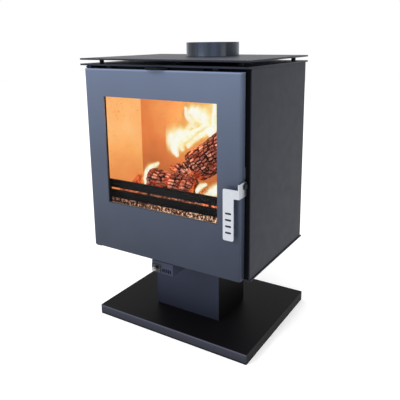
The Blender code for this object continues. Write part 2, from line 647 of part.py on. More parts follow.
def leaning_log_line():
    """Ends of the log that leans up to the right liner."""
    y = LINER_BACK_Y - LEANING_LOG_AHEAD
    foot_x, foot_lift = LEANING_LOG_FOOT
    foot_z = FUEL_TOP_Z + foot_lift
    foot = Vector((foot_x, y, foot_z))
    head = Vector((LINER_INNER - LEANING_LOG_HEAD_GAP, y, foot_z + LEANING_LOG_RISE))
    return foot, head


def log(name, ends, radius, coat, sides=14, rings=6):
    """A round log between two ends, a little uneven along its length."""
    start, end = ends
    along = (end - start).normalized()
    across = along.cross(Vector((0, 0, 1))).normalized()
    upward = across.cross(along)
    mesh_data = bmesh.new()
    rows = []
    for ring in range(rings + 1):
        centre = start.lerp(end, ring / rings)
        row = []
        for step in range(sides):
            angle = 2 * math.pi * step / sides
            reach = radius * (0.96 + 0.04 * math.sin(2 * angle + ring))
            offset = across * math.cos(angle) * reach + upward * math.sin(angle) * reach
            row.append(mesh_data.verts.new(centre + offset))
        rows.append(row)
    for first, second in zip(rows, rows[1:]):
        for step in range(sides):
            after = (step + 1) % sides
            mesh_data.faces.new([first[step], first[after], second[after], second[step]])
    mesh_data.faces.new(rows[0])
    mesh_data.faces.new(rows[-1])
    return publish(name, mesh_data, (0, 0, 0), coat, smooth=True)


def soft_rise(share):
    """0 at or below 0, 1 at or above 1, with a soft rise between."""
    share = max(0.0, min(1.0, share))
    return share * share * (3 - 2 * share)


def make_fuel(coats):
    """Bed of embers heaped against the left and back liners, and two logs on it."""
    log("log_lying", lying_log_line(), LYING_LOG_RADIUS, coats["char"])
    log("log_leaning", leaning_log_line(), LEANING_LOG_RADIUS, coats["char"])
    low_x = -LINER_INNER + 0.002
    high_x = -low_x
    low_y = FIREBOX_FRONT_Y + FENCE_BEHIND_FRAME + FENCE_SHEET + 0.002
    high_y = LINER_BACK_Y - 0.001
    low_z = LINER_BOTTOM_Z + GRATE_THICKNESS + FIT
    log_left, log_right = lying_log_line()
    behind_log_y = max(log_left.y, log_right.y) + LYING_LOG_RADIUS + 2 * RUN
    left_of_log_x = log_left.x - 10 * RUN
    right_of_log_x = log_right.x + 10 * RUN
    mesh_data = bmesh.new()
    tops = []
    lows = []
    for row in range(EMBER_CELLS_DEEP + 1):
        back = row / EMBER_CELLS_DEEP
        y = low_y + (high_y - low_y) * back
        top_row = []
        low_row = []
        for column in range(EMBER_CELLS_ACROSS + 1):
            x = low_x + (high_x - low_x) * column / EMBER_CELLS_ACROSS
            lump = math.sin(61 * x + 3 * row) * math.cos(83 * y + 2 * column)
            heap = EMBER_HEIGHT * (0.72 + 0.16 * back + 0.10 * lump)
            heap += EMBER_BACK_HEAP * soft_rise((y - behind_log_y) / EMBER_HEAP_SLOPE)
            heap += EMBER_LEFT_HEAP * soft_rise((left_of_log_x - x) / EMBER_HEAP_SLOPE) * (0.35 + 0.65 * back)
            heap += EMBER_RIGHT_HEAP * soft_rise((x - right_of_log_x) / EMBER_HEAP_SLOPE)
            top_row.append(mesh_data.verts.new((x, y, low_z + heap)))
            low_row.append(mesh_data.verts.new((x, y, low_z)))
        tops.append(top_row)
        lows.append(low_row)
    for row in range(EMBER_CELLS_DEEP):
        for column in range(EMBER_CELLS_ACROSS):
            for grid in (tops, lows):
                mesh_data.faces.new([grid[row][column], grid[row][column + 1],
                                     grid[row + 1][column + 1], grid[row + 1][column]])
    for row in range(EMBER_CELLS_DEEP):
        for column in (0, EMBER_CELLS_ACROSS):
            mesh_data.faces.new([tops[row][column], tops[row + 1][column],
                                 lows[row + 1][column], lows[row][column]])
    for column in range(EMBER_CELLS_ACROSS):
        for row in (0, EMBER_CELLS_DEEP):
            mesh_data.faces.new([tops[row][column], tops[row][column + 1],
                                 lows[row][column + 1], lows[row][column]])
    bmesh.ops.dissolve_limit(mesh_data, angle_limit=math.radians(0.5), verts=mesh_data.verts[:],
                             edges=mesh_data.edges[:])
    publish("ember_bed", mesh_data, (0, 0, 0), coats["ember"])


# ---------------------------------------------------------------- door
def make_door(coats):
    """Folded door tray with its glass, gasket, clips, inner frame and rope seal."""
    outline = rounded(rectangle(-DOOR_HALF, DOOR_FRONT_Y, DOOR_HALF, DOOR_BACK_Y),
                      [DOOR_EDGE_RADIUS, DOOR_EDGE_RADIUS, 0, 0])
    panel = prism("door_panel", outline, "Z", DOOR_BOTTOM_Z, DOOR_TOP_Z, coats["door"], smooth=True)
    skin = DOOR_FRONT_Y + DOOR_SHEET
    inside = ((-DOOR_HALF + DOOR_SHEET, skin, DOOR_BOTTOM_Z + DOOR_SHEET),
              (DOOR_HALF - DOOR_SHEET, DOOR_BACK_Y + 0.01, DOOR_TOP_Z - DOOR_SHEET))
    window = ((-WINDOW_HALF, DOOR_FRONT_Y - 0.01, WINDOW_BOTTOM_Z),
              (WINDOW_HALF, skin + 0.001, WINDOW_TOP_Z))
    cut(panel, cutter("door_inside", [inside]))
    cut(panel, cutter("door_window", [window]))
    pin_hole = HINGE_PIN_DIAMETER / 2 + HINGE_HOLE_PLAY
    cut(panel, round_hole("door_hinge_hole_upper", pin_hole, (HINGE_X, HINGE_Y, DOOR_TOP_Z), "Z", 0.02))
    cut(panel, round_hole("door_hinge_hole_lower", pin_hole, (HINGE_X, HINGE_Y, DOOR_BOTTOM_Z), "Z", 0.02))
    cut(panel, round_hole("door_spindle_hole", SPINDLE_DIAMETER / 2 + RUN,
                          (DOOR_HALF, PIVOT_Y, PIVOT_Z), "X", 0.02))

    half = WINDOW_HALF + GLASS_LAP
    low_z = WINDOW_BOTTOM_Z - GLASS_LAP
    high_z = WINDOW_TOP_Z + GLASS_LAP
    gasket_y = skin + FIT
    glass_y = gasket_y + GASKET_THICKNESS + FIT
    clip_y = glass_y + GLASS_THICKNESS + FIT
    gasket = block("glass_gasket", (-half, gasket_y, low_z),
                   (half, gasket_y + GASKET_THICKNESS, high_z), coats["rope"])
    see = ((-WINDOW_HALF - 0.001, gasket_y - 0.01, WINDOW_BOTTOM_Z - 0.001),
           (WINDOW_HALF + 0.001, gasket_y + 0.01, WINDOW_TOP_Z + 0.001))
    cut(gasket, cutter("glass_gasket_window", [see]))
    glass = block("door_glass", (-half, glass_y, low_z), (half, glass_y + GLASS_THICKNESS, high_z),
                  coats["glass"])

    frame_y = clip_y + CLIP_THICKNESS + FIT
    clips = []
    for name, near_z, far_z in (("glass_clip_lower", low_z - 0.012, WINDOW_BOTTOM_Z - 0.002),
                                ("glass_clip_upper", WINDOW_TOP_Z + 0.002, high_z + 0.012)):
        clips.append(block(name, (-half, clip_y, near_z), (half, clip_y + CLIP_THICKNESS, far_z),
                           coats["steel"]))
    seal_half = OPENING_HALF + SEAL_OUTSIDE_OPENING
    seal_low = OPENING_BOTTOM_Z - SEAL_OUTSIDE_OPENING
    seal_high = OPENING_TOP_Z + SEAL_OUTSIDE_OPENING
    edge = seal_half + SEAL_WIDTH
    inner_frame = block("door_inner_frame", (-edge, frame_y, seal_low - SEAL_WIDTH),
                        (edge, frame_y + CLIP_THICKNESS, seal_high + SEAL_WIDTH), coats["black"])
    see_in = ((-WINDOW_HALF - 0.004, frame_y - 0.01, WINDOW_BOTTOM_Z - 0.004),
              (WINDOW_HALF + 0.004, frame_y + 0.01, WINDOW_TOP_Z + 0.004))
    cut(inner_frame, cutter("door_inner_frame_window", [see_in]))
    rope_y = frame_y + CLIP_THICKNESS + FIT
    rope = block("door_rope_seal", (-seal_half - SEAL_WIDTH, rope_y, seal_low - SEAL_WIDTH),
                 (seal_half + SEAL_WIDTH, FRAME_FRONT_Y - FIT, seal_high + SEAL_WIDTH), coats["rope"])
    hole = ((-seal_half, rope_y - 0.01, seal_low), (seal_half, FRAME_FRONT_Y + 0.01, seal_high))
    cut(rope, cutter("door_rope_seal_inside", [hole]))

    axis = axis_empty("door_hinge_axis", (HINGE_X, HINGE_Y, DOOR_BOTTOM_Z))
    hang(axis, [panel, gasket, glass, inner_frame, rope, *clips])
    return axis


def make_hinges(coats):
    """Fixed brackets above and below the door, each with its pin."""
    radius = HINGE_PIN_DIAMETER / 2
    low_x = HINGE_X - HINGE_BRACKET_HALF
    high_x = HINGE_X + HINGE_BRACKET_HALF
    front = HINGE_Y - HINGE_BRACKET_HALF + 0.002
    gap_low = DOOR_TOP_Z + HINGE_BRACKET_GAP
    upper = block("hinge_bracket_upper", (low_x, front, gap_low),
                  (high_x, FRAME_FRONT_Y - FIT, gap_low + HINGE_BRACKET_SHEET), coats["black"])
    reach = HINGE_PIN_REACH
    profile = [(0, -reach), (radius, -reach), (radius, 0.002), (0, 0.002)]
    join(upper, turned("hinge_pin_upper_shape", profile, (HINGE_X, HINGE_Y, gap_low), "Z", None))
    plate_top = BODY_FLOOR_Z + BODY_FLOOR_SHEET - 0.0005
    lower = block("hinge_bracket_lower", (low_x, front, BODY_FLOOR_Z),
                  (high_x, BODY_FRONT_Y - FIT, plate_top), coats["black"])
    profile = [(0, -0.002), (radius, -0.002), (radius, reach), (0, reach)]
    join(lower, turned("hinge_pin_lower_shape", profile, (HINGE_X, HINGE_Y, plate_top), "Z", None))


# ---------------------------------------------------------------- handle
def make_handle(coats, door_axis):
    """Bent flat handle that swings on a spindle through the door's right edge, and its latch."""
    back_y = DOOR_FRONT_Y - HANDLE_STANDOFF
    front_y = back_y - HANDLE_SHEET
    outer_x = FLANGE_X + HANDLE_SHEET
    grip_high_x = DOOR_HALF - HANDLE_GRIP_INSET
    grip_low_x = grip_high_x - HANDLE_GRIP_WIDTH
    top_z = PIVOT_Z - 0.002
    low_z = top_z - HANDLE_GRIP_LENGTH
    tab_z = top_z - HANDLE_TAB_HEIGHT
    corners = [(low_z, grip_low_x), (low_z, grip_high_x), (tab_z, grip_high_x), (tab_z, outer_x),
               (top_z, outer_x), (top_z, grip_low_x)]
    turn = HANDLE_CORNER
    handle = prism("door_handle", rounded(corners, [turn, turn, turn / 2, 0, 0, turn]), "Y",
                   front_y, back_y, coats["stainless"], smooth=True)

    lug = HANDLE_LUG_RADIUS
    side = [(front_y, tab_z), (PIVOT_Y + lug - 0.005, tab_z), (PIVOT_Y + lug, tab_z + 0.005)]
    for step in range(9):
        angle = math.radians(90 * step / 8)
        side.append((PIVOT_Y + lug * math.cos(angle), PIVOT_Z + lug * math.sin(angle)))
    side.append((front_y, PIVOT_Z + lug - 0.001))
    flange = prism("handle_flange_shape", side, "X", FLANGE_X, outer_x, None)
    join(handle, flange)
    cut(handle, round_hole("handle_spindle_hole", SPINDLE_DIAMETER / 2 + FIT, (outer_x, PIVOT_Y, PIVOT_Z),
                           "X", 0.012))
    for number in range(HANDLE_SLOTS):
        z = low_z + HANDLE_FIRST_SLOT + number * HANDLE_SLOT_PITCH
        x = grip_low_x + HANDLE_SLOT_MARGIN
        half = HANDLE_SLOT_HEIGHT / 2
        slot = rounded(rectangle(z - half, x, z + half, x + HANDLE_SLOT_LENGTH), half * 0.98)
        cut(handle, prism(f"handle_slot_{number + 1}", slot, "Y", front_y - 0.01, back_y + 0.01, None))

    shank = SPINDLE_DIAMETER / 2
    head = SPINDLE_HEAD_DIAMETER / 2
    head_x = outer_x + FIT
    claw_x = DOOR_HALF - DOOR_SHEET - CLAW_BEHIND_SKIN
    washer_low = DOOR_HALF + FIT
    washer_high = FLANGE_X - FIT
    profile = [(0, claw_x), (shank, claw_x), (shank, washer_low), (head, washer_low),
               (head, washer_high), (shank, washer_high), (shank, head_x), (head, head_x),
               (head, head_x + SPINDLE_HEAD_THICKNESS * 0.7), (head * 0.8, head_x + SPINDLE_HEAD_THICKNESS),
               (0, head_x + SPINDLE_HEAD_THICKNESS)]
    spindle = turned("handle_spindle", profile, (0, PIVOT_Y, PIVOT_Z), "X", coats["black"], 20)
    claw_corners = [(-0.004, -CLAW_REACH), (0.009, -CLAW_REACH), (0.009, 0.006), (-0.007, 0.007)]
    claw_outline = rounded([(PIVOT_Y + y, PIVOT_Z + z) for y, z in claw_corners], 0.003)
    claw = prism("latch_claw", claw_outline, "X", claw_x, claw_x + CLAW_SHEET, coats["steel"])
    cut(claw, round_hole("latch_claw_hole", shank + FIT, (claw_x, PIVOT_Y, PIVOT_Z), "X", 0.02))
    keeper_z = PIVOT_Z + KEEPER_RISE
    block("latch_keeper", (claw_x, DOOR_BACK_Y + 3 * RUN, keeper_z),
          (claw_x + KEEPER_WIDTH, FRAME_FRONT_Y - FIT, keeper_z + KEEPER_HEIGHT), coats["steel"])
    axis = axis_empty("handle_axis", (outer_x, PIVOT_Y, PIVOT_Z))
    hang(door_axis, [axis])
    hang(axis, [handle, spindle, claw])


# ---------------------------------------------------------------- air controls
def make_airwash(coats):
    """Slide above the door that lets air wash down the glass, with its two guides."""
    low_z = DOOR_TOP_Z + AIRWASH_ABOVE_DOOR
    high_z = low_z + AIRWASH_SHEET
    back_y = FRAME_FRONT_Y - RUN
    strip_y = back_y - AIRWASH_STRIP_DEPTH
    tip_y = DOOR_FRONT_Y - AIRWASH_TAB_AHEAD
    strip = AIRWASH_STRIP_WIDTH / 2
    root = AIRWASH_TAB_WIDTH / 2
    tip = AIRWASH_TIP_WIDTH / 2
    neck_y = DOOR_FRONT_Y + 0.004
    corners = [(-strip, strip_y), (-root, strip_y), (-root, neck_y), (-tip, tip_y), (tip, tip_y),
               (root, neck_y), (root, strip_y), (strip, strip_y), (strip, back_y), (-strip, back_y)]
    radii = [0, 0, 0.006, 0.004, 0.004, 0.006, 0, 0, 0, 0]
    slide = prism("airwash_slide", rounded(corners, radii), "Z", low_z, high_z, coats["black"])
    lip_x = tip - 0.002
    lip_low = (-lip_x, tip_y, low_z - AIRWASH_LIP_DROP)
    lip_high = (lip_x, tip_y + 0.002, high_z + 0.001)
    lip = cutter("airwash_lip_shape", [(lip_low, lip_high)])
    join(slide, lip)
    axis = axis_empty("airwash_axis", (0, strip_y, low_z))
    hang(axis, [slide])
    guide_x = strip + AIRWASH_TRAVEL + 2 * RUN
    for side, sign in (("left", -1), ("right", 1)):
        edges = sorted((sign * guide_x, sign * (guide_x + AIRWASH_GUIDE_WIDTH)))
        block(f"airwash_guide_{side}", (edges[0], strip_y, low_z),
              (edges[1], FRAME_FRONT_Y - FIT, LOWER_PLATE_Z - FIT), coats["black"])
    deflector_y = FIREBOX_FRONT_Y + FIT
    top_z = OPENING_TOP_Z + 0.004
    half = LINER_INNER - 0.001
    far_y = deflector_y + DEFLECTOR_DEPTH
    far_z = top_z - DEFLECTOR_DROP
    outline = [(deflector_y, top_z), (deflector_y, top_z - DEFLECTOR_SHEET), (far_y, far_z - DEFLECTOR_SHEET),
               (far_y, far_z)]
    prism("airwash_deflector", outline, "X", -half, half, coats["black"])


def make_primary_air(coats, floor):
    """Air box under the body with a row of slots, and the sliding knob plate that covers them."""
    half = AIR_BOX_WIDTH / 2
    front = DOOR_FRONT_Y + AIR_BOX_BEHIND_DOOR
    back = PEDESTAL_FRONT_Y - 2 * FIT
    high_z = BODY_FLOOR_Z - FIT
    low_z = high_z - AIR_BOX_HEIGHT
    sheet = AIR_BOX_SHEET
    box = block("primary_air_box", (-half, front, low_z), (half, back, high_z), coats["black"])
    inside = ((-half + sheet, front + sheet, low_z + sheet), (half - sheet, back - sheet, high_z + 0.01))
    cut(box, cutter("primary_air_box_inside", [inside]))
    slot_z = low_z + AIR_SLOT_RISE
    slots = []
    for number in range(AIR_SLOTS):
        x = number * AIR_SLOT_PITCH
        slots.append(((x, front - 0.01, slot_z),
                      (x + AIR_SLOT_WIDTH, front + sheet + 0.001, slot_z + AIR_SLOT_HEIGHT)))
    cut(box, cutter("primary_air_box_slots", slots))
    air_hole = ((-half + 3 * sheet, BODY_FRONT_Y + 0.02, BODY_FLOOR_Z - 0.01),
                (half - 3 * sheet, PEDESTAL_FRONT_Y - 0.02, BODY_FLOOR_Z + 0.01))
    cut(floor, cutter("body_floor_air_hole", [air_hole]))

    slide_x = -half + RUN
    plate_z = low_z + AIR_SLIDE_RISE
    plate = block("primary_air_slide", (slide_x, front - RUN - sheet, plate_z),
                  (slide_x + AIR_SLIDE_WIDTH, front - RUN, plate_z + AIR_SLIDE_HEIGHT), coats["black"])
    radius = AIR_KNOB_DIAMETER / 2
    knob_x = slide_x + AIR_SLIDE_WIDTH / 2
    knob_z = plate_z + AIR_SLIDE_HEIGHT / 2 + 0.001
    start = front - RUN - sheet / 2
    tip = start - sheet / 2 - AIR_KNOB_LENGTH
    neck = start - sheet / 2 - 0.002
    profile = [(0, tip), (radius - 0.001, tip), (radius, tip + 0.001), (radius, neck - 0.001),
               (radius * 0.5, neck), (radius * 0.5, start), (0, start)]
    knob = turned("primary_air_knob_shape", profile, (knob_x, 0, knob_z), "Y", None, 16)
    join(plate, knob)
    axis = axis_empty("primary_air_axis", (knob_x, front, knob_z))
    hang(axis, [plate])


def make_stove():
    """Build every piece of the stove."""
    coats = {
        "black": finish("satin_black_paint", (0.028, 0.029, 0.033), 0.42, 0.0),
        "door": finish("door_paint", (0.075, 0.090, 0.120), 0.38, 0.1),
        "iron": finish("cast_iron_black", (0.045, 0.047, 0.052), 0.55, 0.2),
        "steel": finish("plain_steel", (0.38, 0.38, 0.39), 0.35, 1.0),
        "stainless": finish("brushed_stainless", (0.72, 0.74, 0.78), 0.28, 1.0),
        "glass": finish("stove_glass", (0.55, 0.57, 0.58), 0.05, 0.0),
        "rope": finish("rope_seal", (0.10, 0.10, 0.10), 0.9, 0.0),
        "liner": finish("fire_board", (0.80, 0.52, 0.30), 0.9, 0.0),
        "char": finish("charred_wood", (0.10, 0.06, 0.04), 0.85, 0.0),
        "ember": finish("embers", (0.85, 0.25, 0.05), 0.9, 0.0),
    }
    floor = make_base(coats)
    make_shell(coats)
    make_firebox(coats)
    make_fuel(coats)
    door_axis = make_door(coats)
    make_hinges(coats)
    make_handle(coats, door_axis)
    make_airwash(coats)
    make_primary_air(coats, floor)


def clear_scene():
    """Start from an empty scene."""
    for thing in list(bpy.data.objects):
        bpy.data.objects.remove(thing, do_unlink=True)


clear_scene()
make_stove()
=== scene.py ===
"""Finishes, fire, stage and camera for the pedestal stove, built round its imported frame."""

import json
import math

import bmesh
import bpy
import numpy as np
from bpy.props import FloatProperty, FloatVectorProperty, IntProperty, PointerProperty
from mathutils import Matrix, Vector, noise
from mathutils.bvhtree import BVHTree


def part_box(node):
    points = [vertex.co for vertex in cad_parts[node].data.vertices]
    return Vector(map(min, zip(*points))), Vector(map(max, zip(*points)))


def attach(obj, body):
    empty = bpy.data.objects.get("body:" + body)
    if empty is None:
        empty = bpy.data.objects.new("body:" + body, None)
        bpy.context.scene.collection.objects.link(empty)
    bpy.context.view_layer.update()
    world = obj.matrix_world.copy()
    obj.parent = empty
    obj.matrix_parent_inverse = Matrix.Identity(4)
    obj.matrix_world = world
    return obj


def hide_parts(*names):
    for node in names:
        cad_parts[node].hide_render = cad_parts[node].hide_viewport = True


bl_info = {
    "name": "Pedestal stove finishes",
    "version": (1, 0, 0),
    "blender": (4, 5, 0),
    "location": "3D View > Sidebar > Stove",
    "description": "Builds the finishes, the fire and the studio of a pedestal stove",
    "category": "Object",
}

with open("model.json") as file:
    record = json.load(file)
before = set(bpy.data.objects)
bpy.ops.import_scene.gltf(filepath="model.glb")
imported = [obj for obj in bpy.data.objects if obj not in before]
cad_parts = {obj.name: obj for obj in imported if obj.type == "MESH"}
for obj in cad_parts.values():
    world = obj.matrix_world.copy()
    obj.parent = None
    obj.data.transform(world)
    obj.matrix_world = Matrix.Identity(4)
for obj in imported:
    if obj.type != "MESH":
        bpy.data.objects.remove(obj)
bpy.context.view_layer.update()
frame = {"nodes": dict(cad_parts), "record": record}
RECORD = frame["record"]
BODY_OF = {node: body for body, nodes in RECORD["behaviour"]["bodies"].items() for node in nodes}
SLOT_OF = {row["node"]: row["material_slot"] for row in RECORD["subparts"]}

MERGE_DISTANCE = 0.00001
CREASE_ANGLE = math.radians(38)      # sharper edges stay crisp in the shading
ROUNDED_ANGLE = math.radians(40)     # sharper edges are rounded
ROUNDED_SHARE = 0.22                 # widest rounding, as a share of a piece's thinnest size
LIT_FRONT_DEPTHS = (0.0012, 0.0004)        # where the front face's painted lighter colour begins and is full, behind the face
MIDDLE_NOISE = (0.3, 0.7)            # the range that a noise value mostly keeps to

FIREBOX_NODES = ("liner_left", "liner_right", "liner_back", "liner_floor", "baffle_plate")
FUEL_NODES = ("log_lying", "log_leaning", "ember_bed")
# Pieces painted with the darker copy of the body paint, which stands for shade
SHADED_BLACK_NODES = ("base_floor_plate", "log_fence", "front_frame", "airwash_slide")
OWN_NODES = FIREBOX_NODES + FUEL_NODES + ("door_glass", "door_rope_seal", "door_handle", "door_panel")


# ---------------------------------------------------------------- settings
def colour_setting(name, default, description):
    """A colour that the panel shows."""
    return FloatVectorProperty(name=name, subtype="COLOR", default=default, description=description)


class StoveFinishSettings(bpy.types.PropertyGroup):
    """Colours and surface sizes of the stove's metal and boards."""

    # Painted reflection: the door's colour runs up from its bottom colour to this paler top colour
    door_top_reflection: colour_setting("Door top colour", (0.084, 0.109, 0.168), "Door paint at its top edge")
    door_bottom: colour_setting(
        "Door bottom colour", (0.018, 0.024, 0.043), "Door paint at its bottom edge")
    body: colour_setting(
        "Body colour", (0.010, 0.012, 0.020), "Satin paint of the side, back and top sheets")
    # Painted shade: a darker copy of the body's satin paint, which darkens the base, the column's sides, the
    # front frame, the fence and the slides
    shaded_black: colour_setting(
        "Base colour", (0.004, 0.004, 0.005), "Darker satin paint of the base, front frame and fence")
    # Painted light: the paler colour of the base's lit front face
    edge: colour_setting("Base edge colour", (0.032, 0.034, 0.048), "Paint of the base's front edge")
    iron: colour_setting("Iron colour", (0.022, 0.022, 0.025), "Matt paint inside the body")
    collar: colour_setting("Collar colour", (0.020, 0.030, 0.052), "Glossier paint of the flue collar")
    stainless: colour_setting("Handle colour", (0.44, 0.46, 0.50), "Brushed stainless handle")
    edge_round: FloatProperty(
        name="Edge rounding", unit="LENGTH", default=0.0010, min=0.0,
        description="Widest rounding of a sheet metal edge")
    # Painted light: the boards carry the fire's light as emission, from this colour away from the flames to
    # the next one near them
    board_dim_firelight: colour_setting(
        "Board deep glow", (0.78, 0.205, 0.050), "Glow of the liner boards away from the flames")
    board_bright_firelight: colour_setting(
        "Board light glow", (1.0, 0.46, 0.135), "Glow of the liner boards near the flames")


class StoveFireSettings(bpy.types.PropertyGroup):
    """Sizes and strengths of the logs, embers and flames."""

    seed: IntProperty(name="Seed", default=7, description="Seed of every scattered piece")
    ember_size: FloatProperty(
        name="Ember size", unit="LENGTH", default=0.0075, min=0.001,
        description="Half width of an ember")
    ember_density: FloatProperty(
        name="Embers per square metre", default=9000.0, min=0.0,
        description="How closely the embers lie")
    char_block: FloatProperty(
        name="Char block", unit="LENGTH", default=0.0175, min=0.002,
        description="Length of one block of cracked char")
    char_width: FloatProperty(
        name="Char block width", unit="LENGTH", default=0.0095, min=0.002,
        description="Width of one block of cracked char")
    crack_depth: FloatProperty(
        name="Crack depth", unit="LENGTH", default=0.0042, min=0.0,
        description="Depth of the cracks in the char")
    flame_strength: FloatProperty(
        name="Flame strength", default=1.05, min=0.0,
        description="Brightness of the flames")
    flame_seed: IntProperty(
        name="Flame seed", default=4, min=1,
        description="Seed of the flames' wandering edges")


class StoveStageSettings(bpy.types.PropertyGroup):
    """Studio light and floor."""

    floor_size: FloatProperty(name="Floor size", unit="LENGTH", default=14.0, description="Side of the floor")
    floor_light: FloatProperty(name="Floor light", default=0.24, description="How much the floor glows")
    key_power: FloatProperty(name="Key power", default=44.0, description="Power of the large front light")
    sky: FloatProperty(name="Room light", default=1.0, description="Strength of the room's even light")
    fire_power: FloatProperty(name="Fire power", default=1.1, description="Power of the lamp in the firebox")


# ---------------------------------------------------------------- shader helpers
class Finish:
    """A node material with short calls for the nodes that the finishes use."""

    def __init__(self, name, colour, roughness, gloss=0.5, metallic=0.0):
        self.material = bpy.data.materials.new(name)
        self.material.use_nodes = True
        self.tree = self.material.node_tree
        self.shader = self.tree.nodes["Principled BSDF"]
        self.set("Base Color", (*colour, 1.0))
        self.set("Roughness", roughness)
        self.set("Specular IOR Level", gloss)
        self.set("Metallic", metallic)
        self.place = self.tree.nodes.new("ShaderNodeTexCoord").outputs["Object"]

    def set(self, socket, value):
        """Set one of the surface's own values."""
        self.shader.inputs[socket].default_value = value

    def link(self, output, socket):
        """Feed one of the surface's sockets."""
        self.tree.links.new(output, self.shader.inputs[socket])

    def stretched(self, scale):
        """Object coordinates scaled by three factors."""
        mapping = self.tree.nodes.new("ShaderNodeMapping")
        mapping.inputs["Scale"].default_value = scale
        self.tree.links.new(self.place, mapping.inputs["Vector"])
        return mapping.outputs["Vector"]

    def grain(self, scale, detail=4.0, roughness=0.55, stretch=None):
        """Noise over object coordinates, as a value from 0 to 1."""
        texture = self.tree.nodes.new("ShaderNodeTexNoise")
        texture.inputs["Scale"].default_value = scale
        texture.inputs["Detail"].default_value = detail
        texture.inputs["Roughness"].default_value = roughness
        source = self.stretched(stretch) if stretch else self.place
        self.tree.links.new(source, texture.inputs["Vector"])
        return texture.outputs["Fac"]

    def attribute(self, name):
        """A value stored on the mesh."""
        reader = self.tree.nodes.new("ShaderNodeAttribute")
        reader.attribute_name = name
        return reader.outputs["Fac"]

    def span(self, value, low, high, out_low=0.0, out_high=1.0):
        """Map a value's range onto another, held at its ends."""
        step = self.tree.nodes.new("ShaderNodeMapRange")
        step.inputs["From Min"].default_value = low
        step.inputs["From Max"].default_value = high
        step.inputs["To Min"].default_value = out_low
        step.inputs["To Max"].default_value = out_high
        self.tree.links.new(value, step.inputs["Value"])
        return step.outputs["Result"]

    def height(self, axis, low, high):
        """0 to 1 along one object axis between two places."""
        split = self.tree.nodes.new("ShaderNodeSeparateXYZ")
        self.tree.links.new(self.place, split.inputs["Vector"])
        return self.span(split.outputs[axis], low, high)

    def near(self, point, close, far):
        """1 within a distance of a point, falling to 0 at a farther one."""
        distance = self.tree.nodes.new("ShaderNodeVectorMath")
        distance.operation = "DISTANCE"
        distance.inputs[1].default_value = point
        self.tree.links.new(self.place, distance.inputs[0])
        return self.span(distance.outputs["Value"], close, far, 1.0, 0.0)

    def maths(self, operation, first, second):
        """One sum on two values or outputs."""
        step = self.tree.nodes.new("ShaderNodeMath")
        step.operation = operation
        for index, value in enumerate((first, second)):
            if isinstance(value, (int, float)):
                step.inputs[index].default_value = value
            else:
                self.tree.links.new(value, step.inputs[index])
        return step.outputs["Value"]

    def mixed(self, blend, factor, first, second):
        """Blend two colours; a number or colour may stand for any output."""
        step = self.tree.nodes.new("ShaderNodeMix")
        step.data_type = "RGBA"
        step.blend_type = blend
        for index, value in ((0, factor), (6, first), (7, second)):
            if isinstance(value, bpy.types.NodeSocket):
                self.tree.links.new(value, step.inputs[index])
            else:
                step.inputs[index].default_value = value if index == 0 else (*value, 1.0)
        return step.outputs[2]

    def ramp(self, value, stops):
        """A colour ramp from (place, colour) stops."""
        step = self.tree.nodes.new("ShaderNodeValToRGB")
        band = step.color_ramp
        while len(band.elements) < len(stops):
            band.elements.new(0.5)
        for element, (place, colour) in zip(band.elements, stops):
            element.position = place
            element.color = (*colour, 1.0)
        self.tree.links.new(value, step.inputs["Fac"])
        return step.outputs["Color"]

    def bump(self, value, strength, distance):
        """Raise the surface by a value."""
        step = self.tree.nodes.new("ShaderNodeBump")
        step.inputs["Strength"].default_value = strength
        step.inputs["Distance"].default_value = distance
        self.tree.links.new(value, step.inputs["Height"])
        self.link(step.outputs["Normal"], "Normal")

    def sprayed(self, texture=420.0):
        """The fine texture of sprayed paint."""
        self.bump(self.grain(texture, 2.0), 0.10, 0.0004)

    def uneven_gloss(self, value, low, high):
        """Roughness that follows a noise value between two levels."""
        self.link(self.span(value, *MIDDLE_NOISE, low, high), "Roughness")

    def lit_front_face(self, front_y, behind, front):
        """One colour all over, and another on the front face; both uses paint light on the front and shade
        behind it.
        """
        begins, full = LIT_FRONT_DEPTHS
        mask = self.height("Y", front_y + begins, front_y + full)
        self.link(self.mixed("MIX", mask, behind, front), "Base Color")


def shade(colour, factor):
    """A colour made lighter or darker."""
    return tuple(min(1.0, channel * factor) for channel in colour)


def satin_paint(name, colour, roughness, gloss=0.22, texture=420.0):
    """Sprayed stove paint: fine texture, faint mottling and uneven gloss."""
    made = Finish(name, colour, roughness, gloss)
    mottle = made.grain(9.0, 5.0)
    made.link(made.ramp(mottle, ((0.3, shade(colour, 0.95)), (0.7, shade(colour, 1.05)))), "Base Color")
    made.uneven_gloss(made.grain(34.0, 6.0), roughness - 0.03, roughness + 0.03)
    made.sprayed(texture)
    return made.material


def base_light_and_shade_paint(settings, low, high):
    """Near black on top as painted shade, with a paler front edge as painted light and a painted highlight
    along its rim.
    """
    made = Finish("base_satin_paint", settings.shaded_black, 0.50, 0.06)
    # Painted light on the front face, darker low down, with a painted highlight band near its top
    stops = ((0.0, shade(settings.edge, 0.75)), (0.80, settings.edge), (0.90, shade(settings.edge, 2.4)),
             (0.985, shade(settings.edge, 1.2)), (1.0, settings.shaded_black))
    made.lit_front_face(low.y, settings.shaded_black, made.ramp(made.height("Z", low.z, high.z), stops))
    made.sprayed()
    return made.material


def column_light_and_shade_paint(settings, low, high):
    """The column's satin paint, with painted shade that darkens its sides and painted light that makes it
    paler in front and towards its top.
    """
    made = Finish("column_satin_paint", settings.shaded_black, 0.50, 0.08)
    stops = ((0.0, shade(settings.body, 1.5)), (0.6, shade(settings.body, 2.9)))
    made.lit_front_face(low.y, shade(settings.shaded_black, 0.5), made.ramp(made.height("Z", low.z, high.z), stops))
    made.sprayed()
    return made.material


